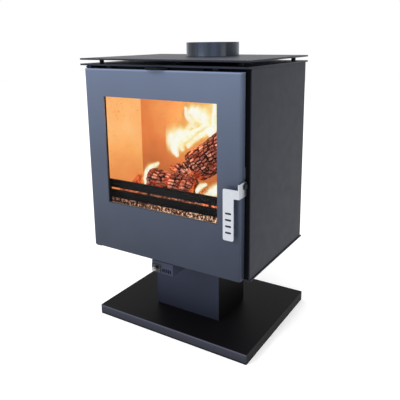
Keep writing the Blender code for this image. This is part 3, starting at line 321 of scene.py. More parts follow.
def collar_paint(settings):
    """Glossy paint on rolled sheet, with painted reflections as streaks that run up it."""
    made = Finish("collar_satin_paint", settings.collar, 0.24, 0.35)
    streak_and_reflection = made.grain(15.0, 3.0, 0.6, stretch=(1.6, 1.6, 0.02))
    # Painted reflection: the streaks run from far darker to far paler than the collar colour
    stops = ((0.36, shade(settings.collar, 0.25)), (0.50, settings.collar),
             (0.62, shade(settings.collar, 2.3)))
    made.link(made.ramp(streak_and_reflection, stops), "Base Color")
    made.uneven_gloss(streak_and_reflection, 0.34, 0.18)
    return made.material


def knob_paint(settings, tip_y, root_y):
    """Black slide whose turned knob has bright metal patches painted as its highlights."""
    made = Finish("air_slide_glints", settings.shaded_black, 0.35)
    # Painted highlight: noise spots of bright bare metal towards the knob's tip
    patches = made.span(made.grain(210.0, 2.0), 0.42, 0.56)
    glint_patches = made.maths("MULTIPLY", made.height("Y", root_y, tip_y), patches)
    made.link(made.ramp(glint_patches, ((0.05, settings.shaded_black), (0.6, (0.36, 0.37, 0.40)))), "Base Color")
    made.link(glint_patches, "Metallic")
    return made.material


def door_paint(settings, low_z, high_z):
    """The door's blue-grey satin paint, with a painted reflection that makes it paler towards its top and a
    painted highlight along its top edge.
    """
    made = Finish("door_satin_paint", settings.door_bottom, 0.36, 0.22)
    rise = made.height("Z", low_z, high_z)
    drift = made.maths("ADD", rise, made.span(made.grain(5.0, 3.0), *MIDDLE_NOISE, -0.05, 0.05))
    # Painted reflection: a darkened middle, then paler towards the top
    middle = tuple((a + b) / 2 * 0.86 for a, b in zip(settings.door_top_reflection, settings.door_bottom))
    stops = ((0.0, settings.door_bottom), (0.5, middle), (1.0, settings.door_top_reflection))
    # Painted highlight: a pale band along the door's top edge
    top_edge_highlight = made.height("Z", high_z - 0.0045, high_z - 0.0015)
    made.link(made.mixed("MIX", top_edge_highlight, made.ramp(drift, stops), shade(settings.door_top_reflection, 1.7)), "Base Color")
    made.uneven_gloss(made.grain(30.0, 6.0), 0.33, 0.43)
    made.sprayed()
    return made.material


def brushed_metal(name, colour, roughness, stretch):
    """Metal brushed along one axis."""
    made = Finish(name, colour, roughness, metallic=1.0)
    lines = made.grain(60.0, 6.0, 0.7, stretch=stretch)
    made.link(made.ramp(lines, ((0.25, shade(colour, 0.84)), (0.75, shade(colour, 1.06)))), "Base Color")
    made.uneven_gloss(lines, roughness - 0.07, roughness + 0.09)
    made.bump(lines, 0.12, 0.0003)
    return made.material


def fire_board(name, settings, flame_place, lift):
    """Pale insulating board with pits, soot and speckles, and the fire's orange light painted on it as
    emission.
    """
    made = Finish(name, (0.10, 0.05, 0.03), 0.92, 0.1)
    # Painted light: the firelight is brightest near the flames' place, set higher by lift and towards the top
    heat = made.near(flame_place, 0.03, 0.22)
    drift = made.span(made.grain(11.0, 6.0, 0.6), *MIDDLE_NOISE, lift - 0.12, lift + 0.12)
    rise = made.maths("MULTIPLY", made.height("Z", 0.37, 0.50), 0.42)
    level = made.maths("ADD", made.maths("ADD", made.maths("MULTIPLY", heat, 0.55), drift), rise)
    deep = settings.board_dim_firelight
    light = settings.board_bright_firelight
    stops = ((0.0, shade(deep, 0.55)), (0.30, deep), (0.70, light), (1.0, (1.0, 0.66, 0.30)))
    glow = made.ramp(made.span(level, 0.0, 1.3), stops)
    specks = made.span(made.grain(260.0, 2.0, 0.5), 0.66, 0.76)
    made.link(made.mixed("MIX", specks, glow, shade(deep, 0.35)), "Emission Color")
    made.set("Emission Strength", 0.92)
    made.bump(made.grain(160.0, 5.0, 0.6), 0.5, 0.0010)
    return made.material


def char(name, glow_low_z):
    """Cracked char: pale ash on the blocks, near black in the cracks, and glowing low down, with a dimmed
    copy of its colour emitted as painted firelight.
    """
    made = Finish(name, (0.08, 0.05, 0.04), 0.9, 0.1)
    raised = made.attribute("raised")
    cell = made.attribute("cell")
    ash = made.maths("MULTIPLY", raised, made.span(made.grain(120.0, 5.0), 0.30, 0.60, 0.35, 1.0))
    tone = made.maths("MULTIPLY", ash, made.span(cell, 0.0, 1.0, 0.50, 1.0))
    stops = ((0.08, (0.010, 0.003, 0.002)), (0.30, (0.075, 0.020, 0.012)), (0.55, (0.30, 0.105, 0.070)),
             (0.90, (0.62, 0.30, 0.21)))
    colour = made.ramp(tone, stops)
    made.link(colour, "Base Color")
    low = made.height("Z", glow_low_z + 0.075, glow_low_z)
    patches = made.span(made.grain(42.0, 3.0), 0.46, 0.62)
    embers = made.maths("MULTIPLY", patches, made.maths("ADD", low, 0.12))
    depth = made.span(raised, 0.0, 0.8, 1.0, 0.15)
    heat = made.maths("MULTIPLY", embers, depth)
    glow = ((0.0, (0.0, 0.0, 0.0)), (0.30, (0.55, 0.045, 0.008)), (0.9, (1.0, 0.40, 0.08)))
    # Painted light: a dimmed copy of the char's colour is emitted as the fire's light on it
    painted_firelight = made.mixed("MULTIPLY", 1.0, colour, (0.42, 0.36, 0.34))
    made.link(made.mixed("ADD", 1.0, made.ramp(heat, glow), painted_firelight), "Emission Color")
    made.set("Emission Strength", 1.0)
    made.bump(made.grain(420.0, 4.0), 0.5, 0.0008)
    return made.material


def glowing_coal(name, ash_z, glow_z):
    """Coals that glow orange between ash-covered faces, and lie under ash below a height, where the ash emits
    a dimmed copy of its colour as painted firelight.
    """
    made = Finish(name, (0.25, 0.10, 0.06), 0.95, 0.1)
    patch = made.grain(48.0, 5.0, 0.65)
    speckle = made.maths("ADD", made.span(made.grain(210.0, 3.0, 0.7), 0.40, 0.64),
                         made.span(made.height("X", -0.19, 0.19), 0.0, 1.0, -0.18, 0.10))
    ash = made.ramp(speckle, ((0.15, (0.020, 0.007, 0.005)), (0.50, (0.20, 0.095, 0.060)),
                              (0.72, (0.62, 0.38, 0.24)), (0.90, (1.0, 0.80, 0.60))))
    made.link(ash, "Base Color")
    left = made.height("X", 0.06, -0.15)
    level = made.maths("ADD", made.span(patch, 0.34, 0.66), made.maths("MULTIPLY", left, 0.16))
    stops = ((0.0, (0.03, 0.003, 0.002)), (0.35, (0.42, 0.035, 0.008)), (0.7, (0.90, 0.12, 0.020)),
             (1.0, (1.0, 0.30, 0.07)))
    darker = made.ramp(patch, ((0.3, (0.5, 0.5, 0.5)), (0.6, (1.0, 1.0, 1.0))))
    hot = made.mixed("MULTIPLY", 1.0, made.ramp(level, stops), darker)
    # Painted light: a dimmed copy of the ash colour is emitted as the fire's light on it
    painted_firelight = made.mixed("MULTIPLY", 1.0, ash, (0.62, 0.50, 0.42))
    made.link(made.mixed("MIX", made.height("Z", ash_z, glow_z), painted_firelight, hot), "Emission Color")
    made.set("Emission Strength", 0.90)
    made.bump(made.grain(300.0, 4.0), 0.5, 0.0010)
    return made.material


def flame_light(settings):
    """Flame: clear at its rim, yellow inside it and near white at its heart."""
    made = Finish("flame", (0.0, 0.0, 0.0), 1.0, 0.0)
    streaks = made.span(made.grain(60.0, 4.0, 0.6, stretch=(1.0, 0.2, 0.45)), 0.30, 0.70, 0.68, 1.15)
    level = made.maths("MULTIPLY", made.attribute("core"), streaks)
    stops = ((0.05, (1.0, 0.50, 0.12)), (0.40, (1.0, 0.76, 0.28)), (0.72, (1.0, 0.95, 0.55)),
             (0.95, (1.0, 1.0, 0.90)))
    made.link(made.ramp(level, stops), "Emission Color")
    made.set("Emission Strength", settings.flame_strength)
    veil = ((0.04, (0.0, 0.0, 0.0)), (0.40, (0.20, 0.20, 0.20)), (0.95, (0.86, 0.86, 0.86)))
    made.link(made.ramp(level, veil), "Alpha")
    return made.material


def clear_glass():
    """Ceramic glass, almost clear."""
    made = Finish("stove_glass_clear", (0.02, 0.02, 0.02), 0.04, 0.3)
    made.set("Alpha", 0.05)
    made.uneven_gloss(made.grain(14.0, 4.0), 0.03, 0.08)
    return made.material


def woven_rope():
    """Black glass fibre rope."""
    made = Finish("rope_black", (0.045, 0.045, 0.048), 0.95)
    fibres = made.grain(900.0, 3.0, 0.7)
    made.link(made.ramp(fibres, ((0.3, (0.02, 0.02, 0.022)), (0.7, (0.10, 0.10, 0.105)))), "Base Color")
    made.bump(fibres, 0.7, 0.0008)
    return made.material


# ---------------------------------------------------------------- mesh helpers
def add_object(name, data):
    """A new object in the scene, at the origin."""
    made = bpy.data.objects.new(name, data)
    bpy.context.collection.objects.link(made)
    return made


def solid_of(node, flat_within):
    """A copy of a node's solid, merged, with faces within some degrees of each other joined."""
    mesh_data = bmesh.new()
    mesh_data.from_mesh(frame["nodes"][node].data)
    bmesh.ops.remove_doubles(mesh_data, verts=mesh_data.verts[:], dist=MERGE_DISTANCE)
    bmesh.ops.dissolve_limit(mesh_data, angle_limit=math.radians(flat_within), verts=mesh_data.verts[:],
                             edges=mesh_data.edges[:])
    return mesh_data


def publish(name, mesh_data, material, body, stands_for=(), values=None):
    """Make a finished piece from a bmesh and let it ride on a body."""
    mesh = bpy.data.meshes.new(name)
    mesh_data.to_mesh(mesh)
    mesh_data.free()
    for key, numbers in (values or {}).items():
        layer = mesh.attributes.new(key, "FLOAT", "POINT")
        layer.data.foreach_set("value", numbers)
    mesh.shade_smooth()
    mesh.set_sharp_from_angle(angle=CREASE_ANGLE)
    mesh.materials.append(material)
    piece = add_object(name, mesh)
    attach(piece, body)
    if stands_for:
        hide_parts(*stands_for)
    return piece


def rounded_copy(node, material, width):
    """The node's own solid, merged, with its edges rounded; it stands for the node."""
    low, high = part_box(node)
    mesh_data = solid_of(node, 0.4)
    piece = publish(f"{node}_finished", mesh_data, material, BODY_OF[node], (node,))
    edge = piece.modifiers.new("edge", "BEVEL")
    edge.width = min(width, ROUNDED_SHARE * min(high - low))
    edge.segments = 2
    edge.limit_method = "ANGLE"
    edge.angle_limit = ROUNDED_ANGLE
    edge.harden_normals = True
    return piece


def grid_faces(mesh_data, rows, closed_rows=False, closed_columns=False):
    """Quads between rows of vertices."""
    count = len(rows)
    wide = len(rows[0])
    for i in range(count if closed_rows else count - 1):
        for j in range(wide if closed_columns else wide - 1):
            after_i = (i + 1) % count
            after_j = (j + 1) % wide
            mesh_data.faces.new([rows[i][j], rows[i][after_j], rows[after_i][after_j], rows[after_i][j]])


def smooth_step(value, low, high):
    """0 below low, 1 above high and a soft rise between."""
    share = max(0.0, min(1.0, (value - low) / (high - low)))
    return share * share * (3.0 - 2.0 * share)


def along_curve(points, steps):
    """Places on a smooth curve through points; each point is a tuple of any length."""
    places = []
    spans = len(points) - 1
    for step in range(steps + 1):
        at = spans * step / steps
        index = min(int(at), spans - 1)
        t = at - index
        before = points[max(index - 1, 0)]
        first = points[index]
        second = points[index + 1]
        after = points[min(index + 2, spans)]
        places.append([
            0.5 * (2 * b + (c - a) * t + (2 * a - 5 * b + 4 * c - d) * t * t
                   + (3 * b - a - 3 * c + d) * t ** 3)
            for a, b, c, d in zip(before, first, second, after)
        ])
    return places


# ---------------------------------------------------------------- metalwork
class STOVE_OT_shell(bpy.types.Operator):
    """Finish the body, base, column, plates, collar and inner metalwork"""

    bl_idname = "stove.shell"
    bl_label = "Shell"

    def execute(self, context):
        settings = context.scene.stove_finish
        coats = {
            "satin_black": satin_paint("body_satin_paint", settings.body, 0.46, 0.13),
            "black_iron": satin_paint("iron_matt_paint", settings.iron, 0.60, 0.10, 300.0),
            "plain_steel": brushed_metal("plain_steel_rolled", (0.42, 0.42, 0.43), 0.42, (0.12, 1.0, 1.0)),
            "rope_seal": woven_rope(),
        }
        # Painted shade: the darker copy of the body paint
        shaded_black = satin_paint("shaded_black_satin_paint", settings.shaded_black, 0.55, 0.06)
        # Painted light: the top plates get a lighter copy of the body paint
        plate = satin_paint("plate_lit_satin_paint", shade(settings.body, 1.4), 0.42, 0.10)
        own = dict.fromkeys(SHADED_BLACK_NODES, shaded_black)
        own.update(dict.fromkeys(("upper_top_plate", "lower_top_plate"), plate))
        # Painted light and shade on the column and the air box
        column = column_light_and_shade_paint(settings, *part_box("pedestal_column"))
        own.update({"pedestal_column": column, "primary_air_box": column})
        own["base_plate"] = base_light_and_shade_paint(settings, *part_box("base_plate"))
        own["flue_collar"] = collar_paint(settings)
        slide_low, slide_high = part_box("primary_air_slide")
        own["primary_air_slide"] = knob_paint(settings, slide_low.y, slide_high.y - 0.003)
        for node in frame["nodes"]:
            if node in OWN_NODES:
                continue
            rounded_copy(node, own.get(node, coats[SLOT_OF[node]]), settings.edge_round)
        return {"FINISHED"}


class STOVE_OT_door(bpy.types.Operator):
    """Finish the door's folded panel and its glass"""

    bl_idname = "stove.door"
    bl_label = "Door"

    def execute(self, context):
        settings = context.scene.stove_finish
        low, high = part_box("door_panel")
        rounded_copy("door_panel", door_paint(settings, low.z, high.z), 0.0018)
        glass = frame["nodes"]["door_glass"]
        glass.data.materials.clear()
        glass.data.materials.append(clear_glass())
        return {"FINISHED"}


ROPE_RADIUS = 0.0052
ROPE_CLEARANCE = 0.0003
ROPE_CORNER = 0.020
ROPE_CORNER_STEPS = 8
ROPE_PITCH = 0.0030                  # distance between two rings along the rope
ROPE_SIDES = 18


class STOVE_OT_seal(bpy.types.Operator):
    """Make the braided rope that seals the door against the frame"""

    bl_idname = "stove.seal"
    bl_label = "Rope seal"

    def execute(self, context):
        low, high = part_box("door_rope_seal")
        radius_y = (high.y - low.y) / 2 - ROPE_CLEARANCE
        reach_x = (high.x - low.x) / 2 - ROPE_RADIUS - ROPE_CLEARANCE - ROPE_CORNER
        reach_z = (high.z - low.z) / 2 - ROPE_RADIUS - ROPE_CLEARANCE - ROPE_CORNER
        middle_y = (low.y + high.y) / 2
        middle_z = (low.z + high.z) / 2
        path = []
        for quarter, (sx, sz) in enumerate(((1, 1), (-1, 1), (-1, -1), (1, -1))):
            for step in range(ROPE_CORNER_STEPS + 1):
                angle = math.radians(90 * quarter + 90 * step / ROPE_CORNER_STEPS)
                x = sx * reach_x + ROPE_CORNER * math.cos(angle)
                z = middle_z + sz * reach_z + ROPE_CORNER * math.sin(angle)
                path.append(Vector((x, middle_y, z)))
        places = self.even(path, ROPE_PITCH)
        mesh_data = bmesh.new()
        rows = []
        count = len(places)
        for index, place in enumerate(places):
            ahead = (places[(index + 1) % count] - places[index - 1]).normalized()
            outward = ahead.cross(Vector((0, 1, 0))).normalized()
            row = []
            for side in range(ROPE_SIDES):
                angle = 2 * math.pi * side / ROPE_SIDES
                twist = math.sin(3 * angle + 0.9 * index) * math.sin(3 * angle - 0.9 * index)
                reach = 0.94 + 0.06 * twist
                offset = outward * math.cos(angle) * ROPE_RADIUS * reach
                offset += Vector((0, 1, 0)) * math.sin(angle) * radius_y * reach
                row.append(mesh_data.verts.new(place + offset))
            rows.append(row)
        grid_faces(mesh_data, rows, closed_rows=True, closed_columns=True)
        bmesh.ops.recalc_face_normals(mesh_data, faces=mesh_data.faces)
        publish("door_rope_seal_braided", mesh_data, woven_rope(), BODY_OF["door_rope_seal"],
                ("door_rope_seal",))
        return {"FINISHED"}

    @staticmethod
    def even(path, pitch):
        """Evenly spaced places round a closed path."""
        loop = path + [path[0]]
        lengths = [0.0]
        for start, end in zip(loop, loop[1:]):
            lengths.append(lengths[-1] + (end - start).length)
        count = int(lengths[-1] / pitch)
        places = []
        index = 0
        for step in range(count):
            wanted = lengths[-1] * step / count
            while lengths[index + 1] < wanted:
                index += 1
            share = (wanted - lengths[index]) / max(lengths[index + 1] - lengths[index], 1e-9)
            places.append(loop[index].lerp(loop[index + 1], share))
        return places


class STOVE_OT_handle(bpy.types.Operator):
    """Finish the bent stainless handle"""

    bl_idname = "stove.handle"
    bl_label = "Handle"

    def execute(self, context):
        settings = context.scene.stove_finish
        steel = brushed_metal("handle_brushed_stainless", settings.stainless, 0.34, (1.0, 1.0, 0.08))
        rounded_copy("door_handle", steel, 0.0006)
        return {"FINISHED"}


# ---------------------------------------------------------------- firebox
class STOVE_OT_liners(bpy.types.Operator):
    """Finish the insulating boards that line the firebox"""

    bl_idname = "stove.liners"
    bl_label = "Liners"

    def execute(self, context):
        settings = context.scene.stove_finish
        low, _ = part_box("liner_back")
        # The painted firelight on the boards is brightest round this place; the side boards are given more of
        # it than the back
        flame_place = (0.05, low.y - 0.03, low.z + 0.25)
        back = fire_board("fire_board_back", settings, flame_place, 0.02)
        side = fire_board("fire_board_side", settings, flame_place, 0.62)
        for node in FIREBOX_NODES:
            rounded_copy(node, back if node == "liner_back" else side, 0.0012)
        return {"FINISHED"}


CHAR_CELL = 0.0016                   # size of a face on a log's bark
CRACK_EDGE = (0.0003, 0.0024)        # distances from a crack's middle to its foot and its rim
LOG_END_FRAY = 0.008                 # length over which a log thins at its ends


def charred_log(name, stands_for, ends, radius, settings, material):
    """A log whose char has cracked into blocks, as a closed mesh with its block height stored."""
    start, end = ends
    along = end - start
    length = along.length
    along.normalize()
    across = along.cross(Vector((0, 0, 1))).normalized()
    upward = across.cross(along)
    sides = int(2 * math.pi * radius / CHAR_CELL)
    rings = int(length / CHAR_CELL)
    mesh_data = bmesh.new()
    raised = []
    cells = []
    rows = []
    block = settings.char_block
    crack = min(settings.crack_depth, 0.3 * radius)
    per_row = max(6, int(2 * math.pi * radius / settings.char_width))
    for ring in range(rings + 1):
        travel = length * ring / rings
        row = []
        for side in range(sides):
            angle = 2 * math.pi * side / sides
            wander = noise.noise(Vector((travel * 60, math.cos(angle) * 3, math.sin(angle) * 3 + len(name))))
            band = (travel + 0.0035 * wander) / block
            band_index = math.floor(band)
            stagger = noise.cell(Vector((band_index, len(name), 3.0)))
            turn = per_row * side / sides + stagger + 0.35 * wander
            cell_index = math.floor(turn) % per_row
            from_band = min(band - band_index, 1 - band + band_index) * block
            from_side = min(turn - math.floor(turn), 1 - turn + math.floor(turn)) * settings.char_width
            lift = smooth_step(min(from_band, from_side), *CRACK_EDGE)
            tone = noise.cell(Vector((band_index, cell_index, 7.0)))
            lump_place = Vector((travel * 22, math.cos(angle) * 1.6, math.sin(angle) * 1.6 + len(name)))
            reach = radius * (0.94 + 0.06 * noise.noise(lump_place)) - crack * (1 - lift)
            from_end = min(travel, length - travel)
            reach -= 0.5 * crack * tone + 1.4 * crack * (1 - smooth_step(from_end, 0.0, LOG_END_FRAY))
            offset = across * math.cos(angle) * reach + upward * math.sin(angle) * reach
            row.append(mesh_data.verts.new(start + along * travel + offset))
            raised.append(lift)
            cells.append(tone)
        rows.append(row)
    grid_faces(mesh_data, rows, closed_columns=True)
    for row, place, inward in ((rows[0], start, 1), (rows[-1], end, -1)):
        previous = row
        for ring_share in (0.82, 0.60, 0.38, 0.16):
            loop = []
            for side, vertex in enumerate(row):
                dent = 0.0022 * noise.noise(Vector((side * 0.35, ring_share * 14, len(name))))
                spot = place.lerp(vertex.co, ring_share) + along * (dent + inward * 0.0018)
                loop.append(mesh_data.verts.new(spot))
                raised.append(0.12 + 0.16 * ring_share)
                cells.append(0.3)
            for side in range(sides):
                after = (side + 1) % sides
                mesh_data.faces.new([previous[side], previous[after], loop[after], loop[side]])
            previous = loop
        centre = mesh_data.verts.new(place + along * inward * 0.002)
        raised.append(0.10)
        cells.append(0.3)
        for side in range(sides):
            mesh_data.faces.new([previous[side], previous[(side + 1) % sides], centre])
    bmesh.ops.recalc_face_normals(mesh_data, faces=mesh_data.faces)
    values = {"raised": raised, "cell": cells}
    return publish(name, mesh_data, material, "root", stands_for, values)


class STOVE_OT_logs(bpy.types.Operator):
    """Make the lying log and the log that leans against the right liner"""

    bl_idname = "stove.logs"
    bl_label = "Logs"

    def execute(self, context):
        settings = context.scene.stove_fire
        low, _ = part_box("log_lying")
        for node in ("log_lying", "log_leaning"):
            start, end, radius = self.measure(node)
            material = char(f"{node}_char", low.z)
            charred_log(f"{node}_charred", (node,), (start, end), radius, settings, material)
        self.broken_pieces(settings)
        return {"FINISHED"}

    @staticmethod
    def broken_pieces(settings):
        """Broken char that has fallen between the two logs, placed from the leaning log's low corner."""
        valley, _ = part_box("log_leaning")
        material = char("broken_char", valley.z + 0.030)
        pieces = (
            ((-0.022, 0.002, 0.040), (0.020, 0.000, 0.030), 0.0085),
            ((0.000, -0.001, 0.050), (0.034, -0.003, 0.028), 0.0090),
            ((0.018, 0.002, 0.056), (0.046, -0.001, 0.024), 0.0085),
            ((0.026, -0.004, 0.026), (0.062, -0.004, 0.010), 0.0080),
        )
        for number, (start, end, radius) in enumerate(pieces):
            ends = (valley + Vector(start), valley + Vector(end))
            charred_log(f"broken_char_{number}", (), ends, radius, settings, material)

    @staticmethod
    def measure(node):
        """End centres and radius of a CAD log from its two end faces."""
        mesh_data = solid_of(node, 1)
        caps = sorted(mesh_data.faces, key=lambda face: len(face.verts), reverse=True)[:2]
        caps.sort(key=lambda face: face.calc_center_median().x)
        centres = [face.calc_center_median().copy() for face in caps]
        reaches = [(vertex.co - centre).length
                   for face, centre in zip(caps, centres) for vertex in face.verts]
        mesh_data.free()
        return centres[0], centres[1], sum(reaches) / len(reaches)


# ---------------------------------------------------------------- embers
def scatter_tree(material):
    """Node tree that strews rough coals over a surface."""
    tree = bpy.data.node_groups.new("strew_coals", "GeometryNodeTree")
    sockets = (("Surface", "INPUT", "Geometry"), ("Density", "INPUT", "Float"),
               ("Coal size", "INPUT", "Float"), ("Seed", "INPUT", "Int"), ("Geometry", "OUTPUT", "Geometry"))
    for name, way, kind in sockets:
        tree.interface.new_socket(name, in_out=way, socket_type=f"NodeSocket{kind}")
    kinds = {
        "given": "NodeGroupInput", "result": "NodeGroupOutput",
        "points": "GeometryNodeDistributePointsOnFaces", "coal": "GeometryNodeMeshIcoSphere",
        "rough": "ShaderNodeTexNoise", "centred": "ShaderNodeVectorMath", "shove": "ShaderNodeVectorMath",
        "shape": "GeometryNodeSetPosition", "strew": "GeometryNodeInstanceOnPoints",
        "turn": "FunctionNodeRandomValue", "size": "FunctionNodeRandomValue",
        "real": "GeometryNodeRealizeInstances", "coat": "GeometryNodeSetMaterial",
    }
    made = {key: tree.nodes.new(kind) for key, kind in kinds.items()}
    made["centred"].operation = "SUBTRACT"
    made["shove"].operation = "SCALE"
    made["turn"].data_type = "FLOAT_VECTOR"
    made["size"].data_type = "FLOAT_VECTOR"
    values = (
        ("coal", "Subdivisions", 2), ("rough", "Scale", 130.0), ("centred", 1, (0.5, 0.5, 0.5)),
        ("shove", "Scale", 0.016), ("turn", 1, (math.tau, math.tau, math.tau)),
        ("size", 0, (0.55, 0.45, 0.35)), ("size", 1, (1.35, 1.05, 0.85)), ("coat", "Material", material),
    )
    for key, socket, value in values:
        made[key].inputs[socket].default_value = value
    wires = (
        ("given", "Surface", "points", "Mesh"), ("given", "Density", "points", "Density"),
        ("given", "Seed", "points", "Seed"), ("given", "Coal size", "coal", "Radius"),
        ("given", "Seed", "turn", "Seed"), ("given", "Seed", "size", "Seed"),
        ("rough", "Color", "centred", 0), ("centred", 0, "shove", 0), ("shove", 0, "shape", "Offset"),
        ("coal", "Mesh", "shape", "Geometry"), ("points", "Points", "strew", "Points"),
        ("shape", "Geometry", "strew", "Instance"), ("turn", 0, "strew", "Rotation"),
        ("size", 0, "strew", "Scale"), ("strew", "Instances", "real", "Geometry"),
        ("real", "Geometry", "coat", "Geometry"), ("coat", "Geometry", "result", "Geometry"),
    )
    for start, output, end, socket in wires:
        tree.links.new(made[start].outputs[output], made[end].inputs[socket])
    return tree


class STOVE_OT_embers(bpy.types.Operator):
    """Make the ash bed and strew glowing coals over it"""

    bl_idname = "stove.embers"
    bl_label = "Embers"

    def execute(self, context):
        settings = context.scene.stove_fire
        low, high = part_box("ember_bed")
        log_low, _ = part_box("log_lying")
        coal = glowing_coal("glowing_coal", log_low.z - 0.018, log_low.z + 0.002)
        heights = self.heights(low, high)
        mesh_data = bmesh.new()
        tops = []
        lows = []
        for row in heights:
            tops.append([mesh_data.verts.new(place) for place in row])
            lows.append([mesh_data.verts.new((place.x, place.y, low.z)) for place in row])
        grid_faces(mesh_data, tops)
        grid_faces(mesh_data, lows)
        rims = ((tops[0], lows[0]), (tops[-1], lows[-1]),
                ([row[0] for row in tops], [row[0] for row in lows]),
                ([row[-1] for row in tops], [row[-1] for row in lows]))
        for upper, lower in rims:
            grid_faces(mesh_data, [upper, lower])
        bmesh.ops.recalc_face_normals(mesh_data, faces=mesh_data.faces)
        publish("ember_bed_glowing", mesh_data, coal, "root", ("ember_bed",))
        layers = (
            ("coals_small", 0.55, 1.0, lambda place: True),
            ("coals_large", 1.0, 0.55, lambda place: place.z > log_low.z - 0.004),
            ("coals_heap", 1.5, 0.28, lambda place: place.x < log_low.x and place.z > log_low.z - 0.012),
        )
        for name, bigger, denser, wanted in layers:
            size = settings.ember_size * bigger
            self.strew(name, settings, coal, heights, size, settings.ember_density * denser, wanted)
        return {"FINISHED"}

    @staticmethod
    def heights(low, high):
        """Rows of places on top of the bed, a little under the solid's own top, with lumps."""
        mesh_data = bmesh.new()
        mesh_data.from_mesh(frame["nodes"]["ember_bed"].data)
        solid = BVHTree.FromBMesh(mesh_data)
        mesh_data.free()
        across = 150
        deep = 56
        edge = 0.0006
        rows = []
        for j in range(deep + 1):
            y = low.y + edge + (high.y - low.y - 2 * edge) * j / deep
            row = []
            for i in range(across + 1):
                x = low.x + edge + (high.x - low.x - 2 * edge) * i / across
                top = solid.ray_cast(Vector((x, y, high.z + 0.01)), Vector((0, 0, -1)))[0].z
                lump = noise.fractal(Vector((x * 60, y * 60, 2.0)), 0.9, 2.1, 4)
                row.append(Vector((x, y, top - 0.004 + 0.003 * lump)))
            rows.append(row)
        return rows

    @staticmethod
    def strew(name, settings, coal, heights, size, density, wanted):
        """Coals over the part of the bed that is wanted, kept clear of its rim."""
        low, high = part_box("ember_bed")
        reach = 1.5 * size
        mesh_data = bmesh.new()
        for first, second in zip(heights[::2], heights[2::2]):
            for i in range(0, len(first) - 2, 2):
                loop = [first[i], first[i + 2], second[i + 2], second[i]]
                middle = sum(loop, Vector()) / 4
                inside_x = low.x + reach < middle.x < high.x - reach
                inside_y = low.y + reach < middle.y < high.y - reach
                if inside_x and inside_y and wanted(middle):
                    mesh_data.faces.new([mesh_data.verts.new(place) for place in loop])
        mesh = bpy.data.meshes.new(name + "_ground")
        mesh_data.to_mesh(mesh)
        mesh_data.free()
        ground = add_object(name + "_ground", mesh)
        step = ground.modifiers.new("strew", "NODES")
        tree = scatter_tree(coal)
        keys = {item.name: item.identifier for item in tree.interface.items_tree if item.in_out == "INPUT"}
        step.node_group = tree
        step[keys["Density"]] = density
        step[keys["Coal size"]] = size
        step[keys["Seed"]] = settings.seed
        graph = bpy.context.evaluated_depsgraph_get()
        graph.update()
        strewn = bpy.data.meshes.new_from_object(ground.evaluated_get(graph), depsgraph=graph)
        bpy.data.objects.remove(ground)
        strewn.name = name
        strewn.shade_smooth()
        piece = add_object(name, strewn)
        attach(piece, "root")


# ---------------------------------------------------------------- flames
def flame_levels(spines, across, up, ripple, seed):
    """How hot each place of a grid is: 1 on the spines, fading to 0 beside them."""
    warp = np.zeros((len(up), len(across), 2))
    for j, z in enumerate(up):
        for i, x in enumerate(across):
            swirl = noise.noise_vector(Vector((x * 34, z * 22, seed)))
            fine = noise.noise_vector(Vector((x * 95, z * 60, seed + 5)))
            warp[j, i] = [swirl[axis] * ripple + fine[axis] * ripple * 0.45 for axis in (0, 2)]
    place_x, place_z = np.meshgrid(across, up)
    place_x = place_x + warp[:, :, 0]
    place_z = place_z + warp[:, :, 1]
    clear = np.ones(place_x.shape)
    for spine in spines:
        nearest = np.full(place_x.shape, 9.0)
        for x, z, wide in along_curve(spine, 36):
            nearest = np.minimum(nearest, np.hypot(place_x - x, (place_z - z) * 0.9) / max(wide, 0.001))
        heat = np.clip(1.25 - nearest, 0, 1) ** 1.3
        halo = 0.20 * np.clip(1 - nearest / 2.3, 0, 1)
        clear *= 1 - np.clip(heat + halo, 0, 1)
    return 1 - clear


FLAME_MARGIN = 0.022                 # room beside the spines for the edges to wander in
FLAME_EDGE = 0.03                    # heat below which there is no flame


def flame_sheet(name, y, spines, seed, material, step, ripple, heart):
    """A thin closed sheet of flame in front of the back liner, following its spines, hottest at its heart."""
    points = [point for spine in spines for point in spine]
    across, up = (np.arange(min(p[axis] for p in points) - FLAME_MARGIN,
                            max(p[axis] for p in points) + FLAME_MARGIN, step) for axis in (0, 1))
    levels = heart * flame_levels(spines, across, up, ripple, seed)
    mesh_data = bmesh.new()
    core = []
    made = {}

    def corner(j, i, side):
        key = (j, i, side)
        if key not in made:
            bulge = 0.0004 + 0.0040 * levels[j, i]
            made[key] = mesh_data.verts.new((across[i], y + side * bulge, up[j]))
            core.append(float(levels[j, i]))
        return made[key]

    kept = set()
    for j in range(len(up) - 1):
        for i in range(len(across) - 1):
            if levels[j:j + 2, i:i + 2].max() > FLAME_EDGE:
                kept.add((j, i))
    for j, i in kept:
        loop = ((j, i), (j, i + 1), (j + 1, i + 1), (j + 1, i))
        mesh_data.faces.new([corner(*place, -1) for place in loop])
        mesh_data.faces.new([corner(*place, 1) for place in reversed(loop)])
        walls = (((j - 1, i), loop[0], loop[1]), ((j, i + 1), loop[1], loop[2]),
                 ((j + 1, i), loop[2], loop[3]), ((j, i - 1), loop[3], loop[0]))
        for beyond, first, second in walls:
            if beyond not in kept:
                wall = ((*first, 1), (*second, 1), (*second, -1), (*first, -1))
                mesh_data.faces.new([corner(*place) for place in wall])
    return publish(name, mesh_data, material, "root", (), {"core": core})


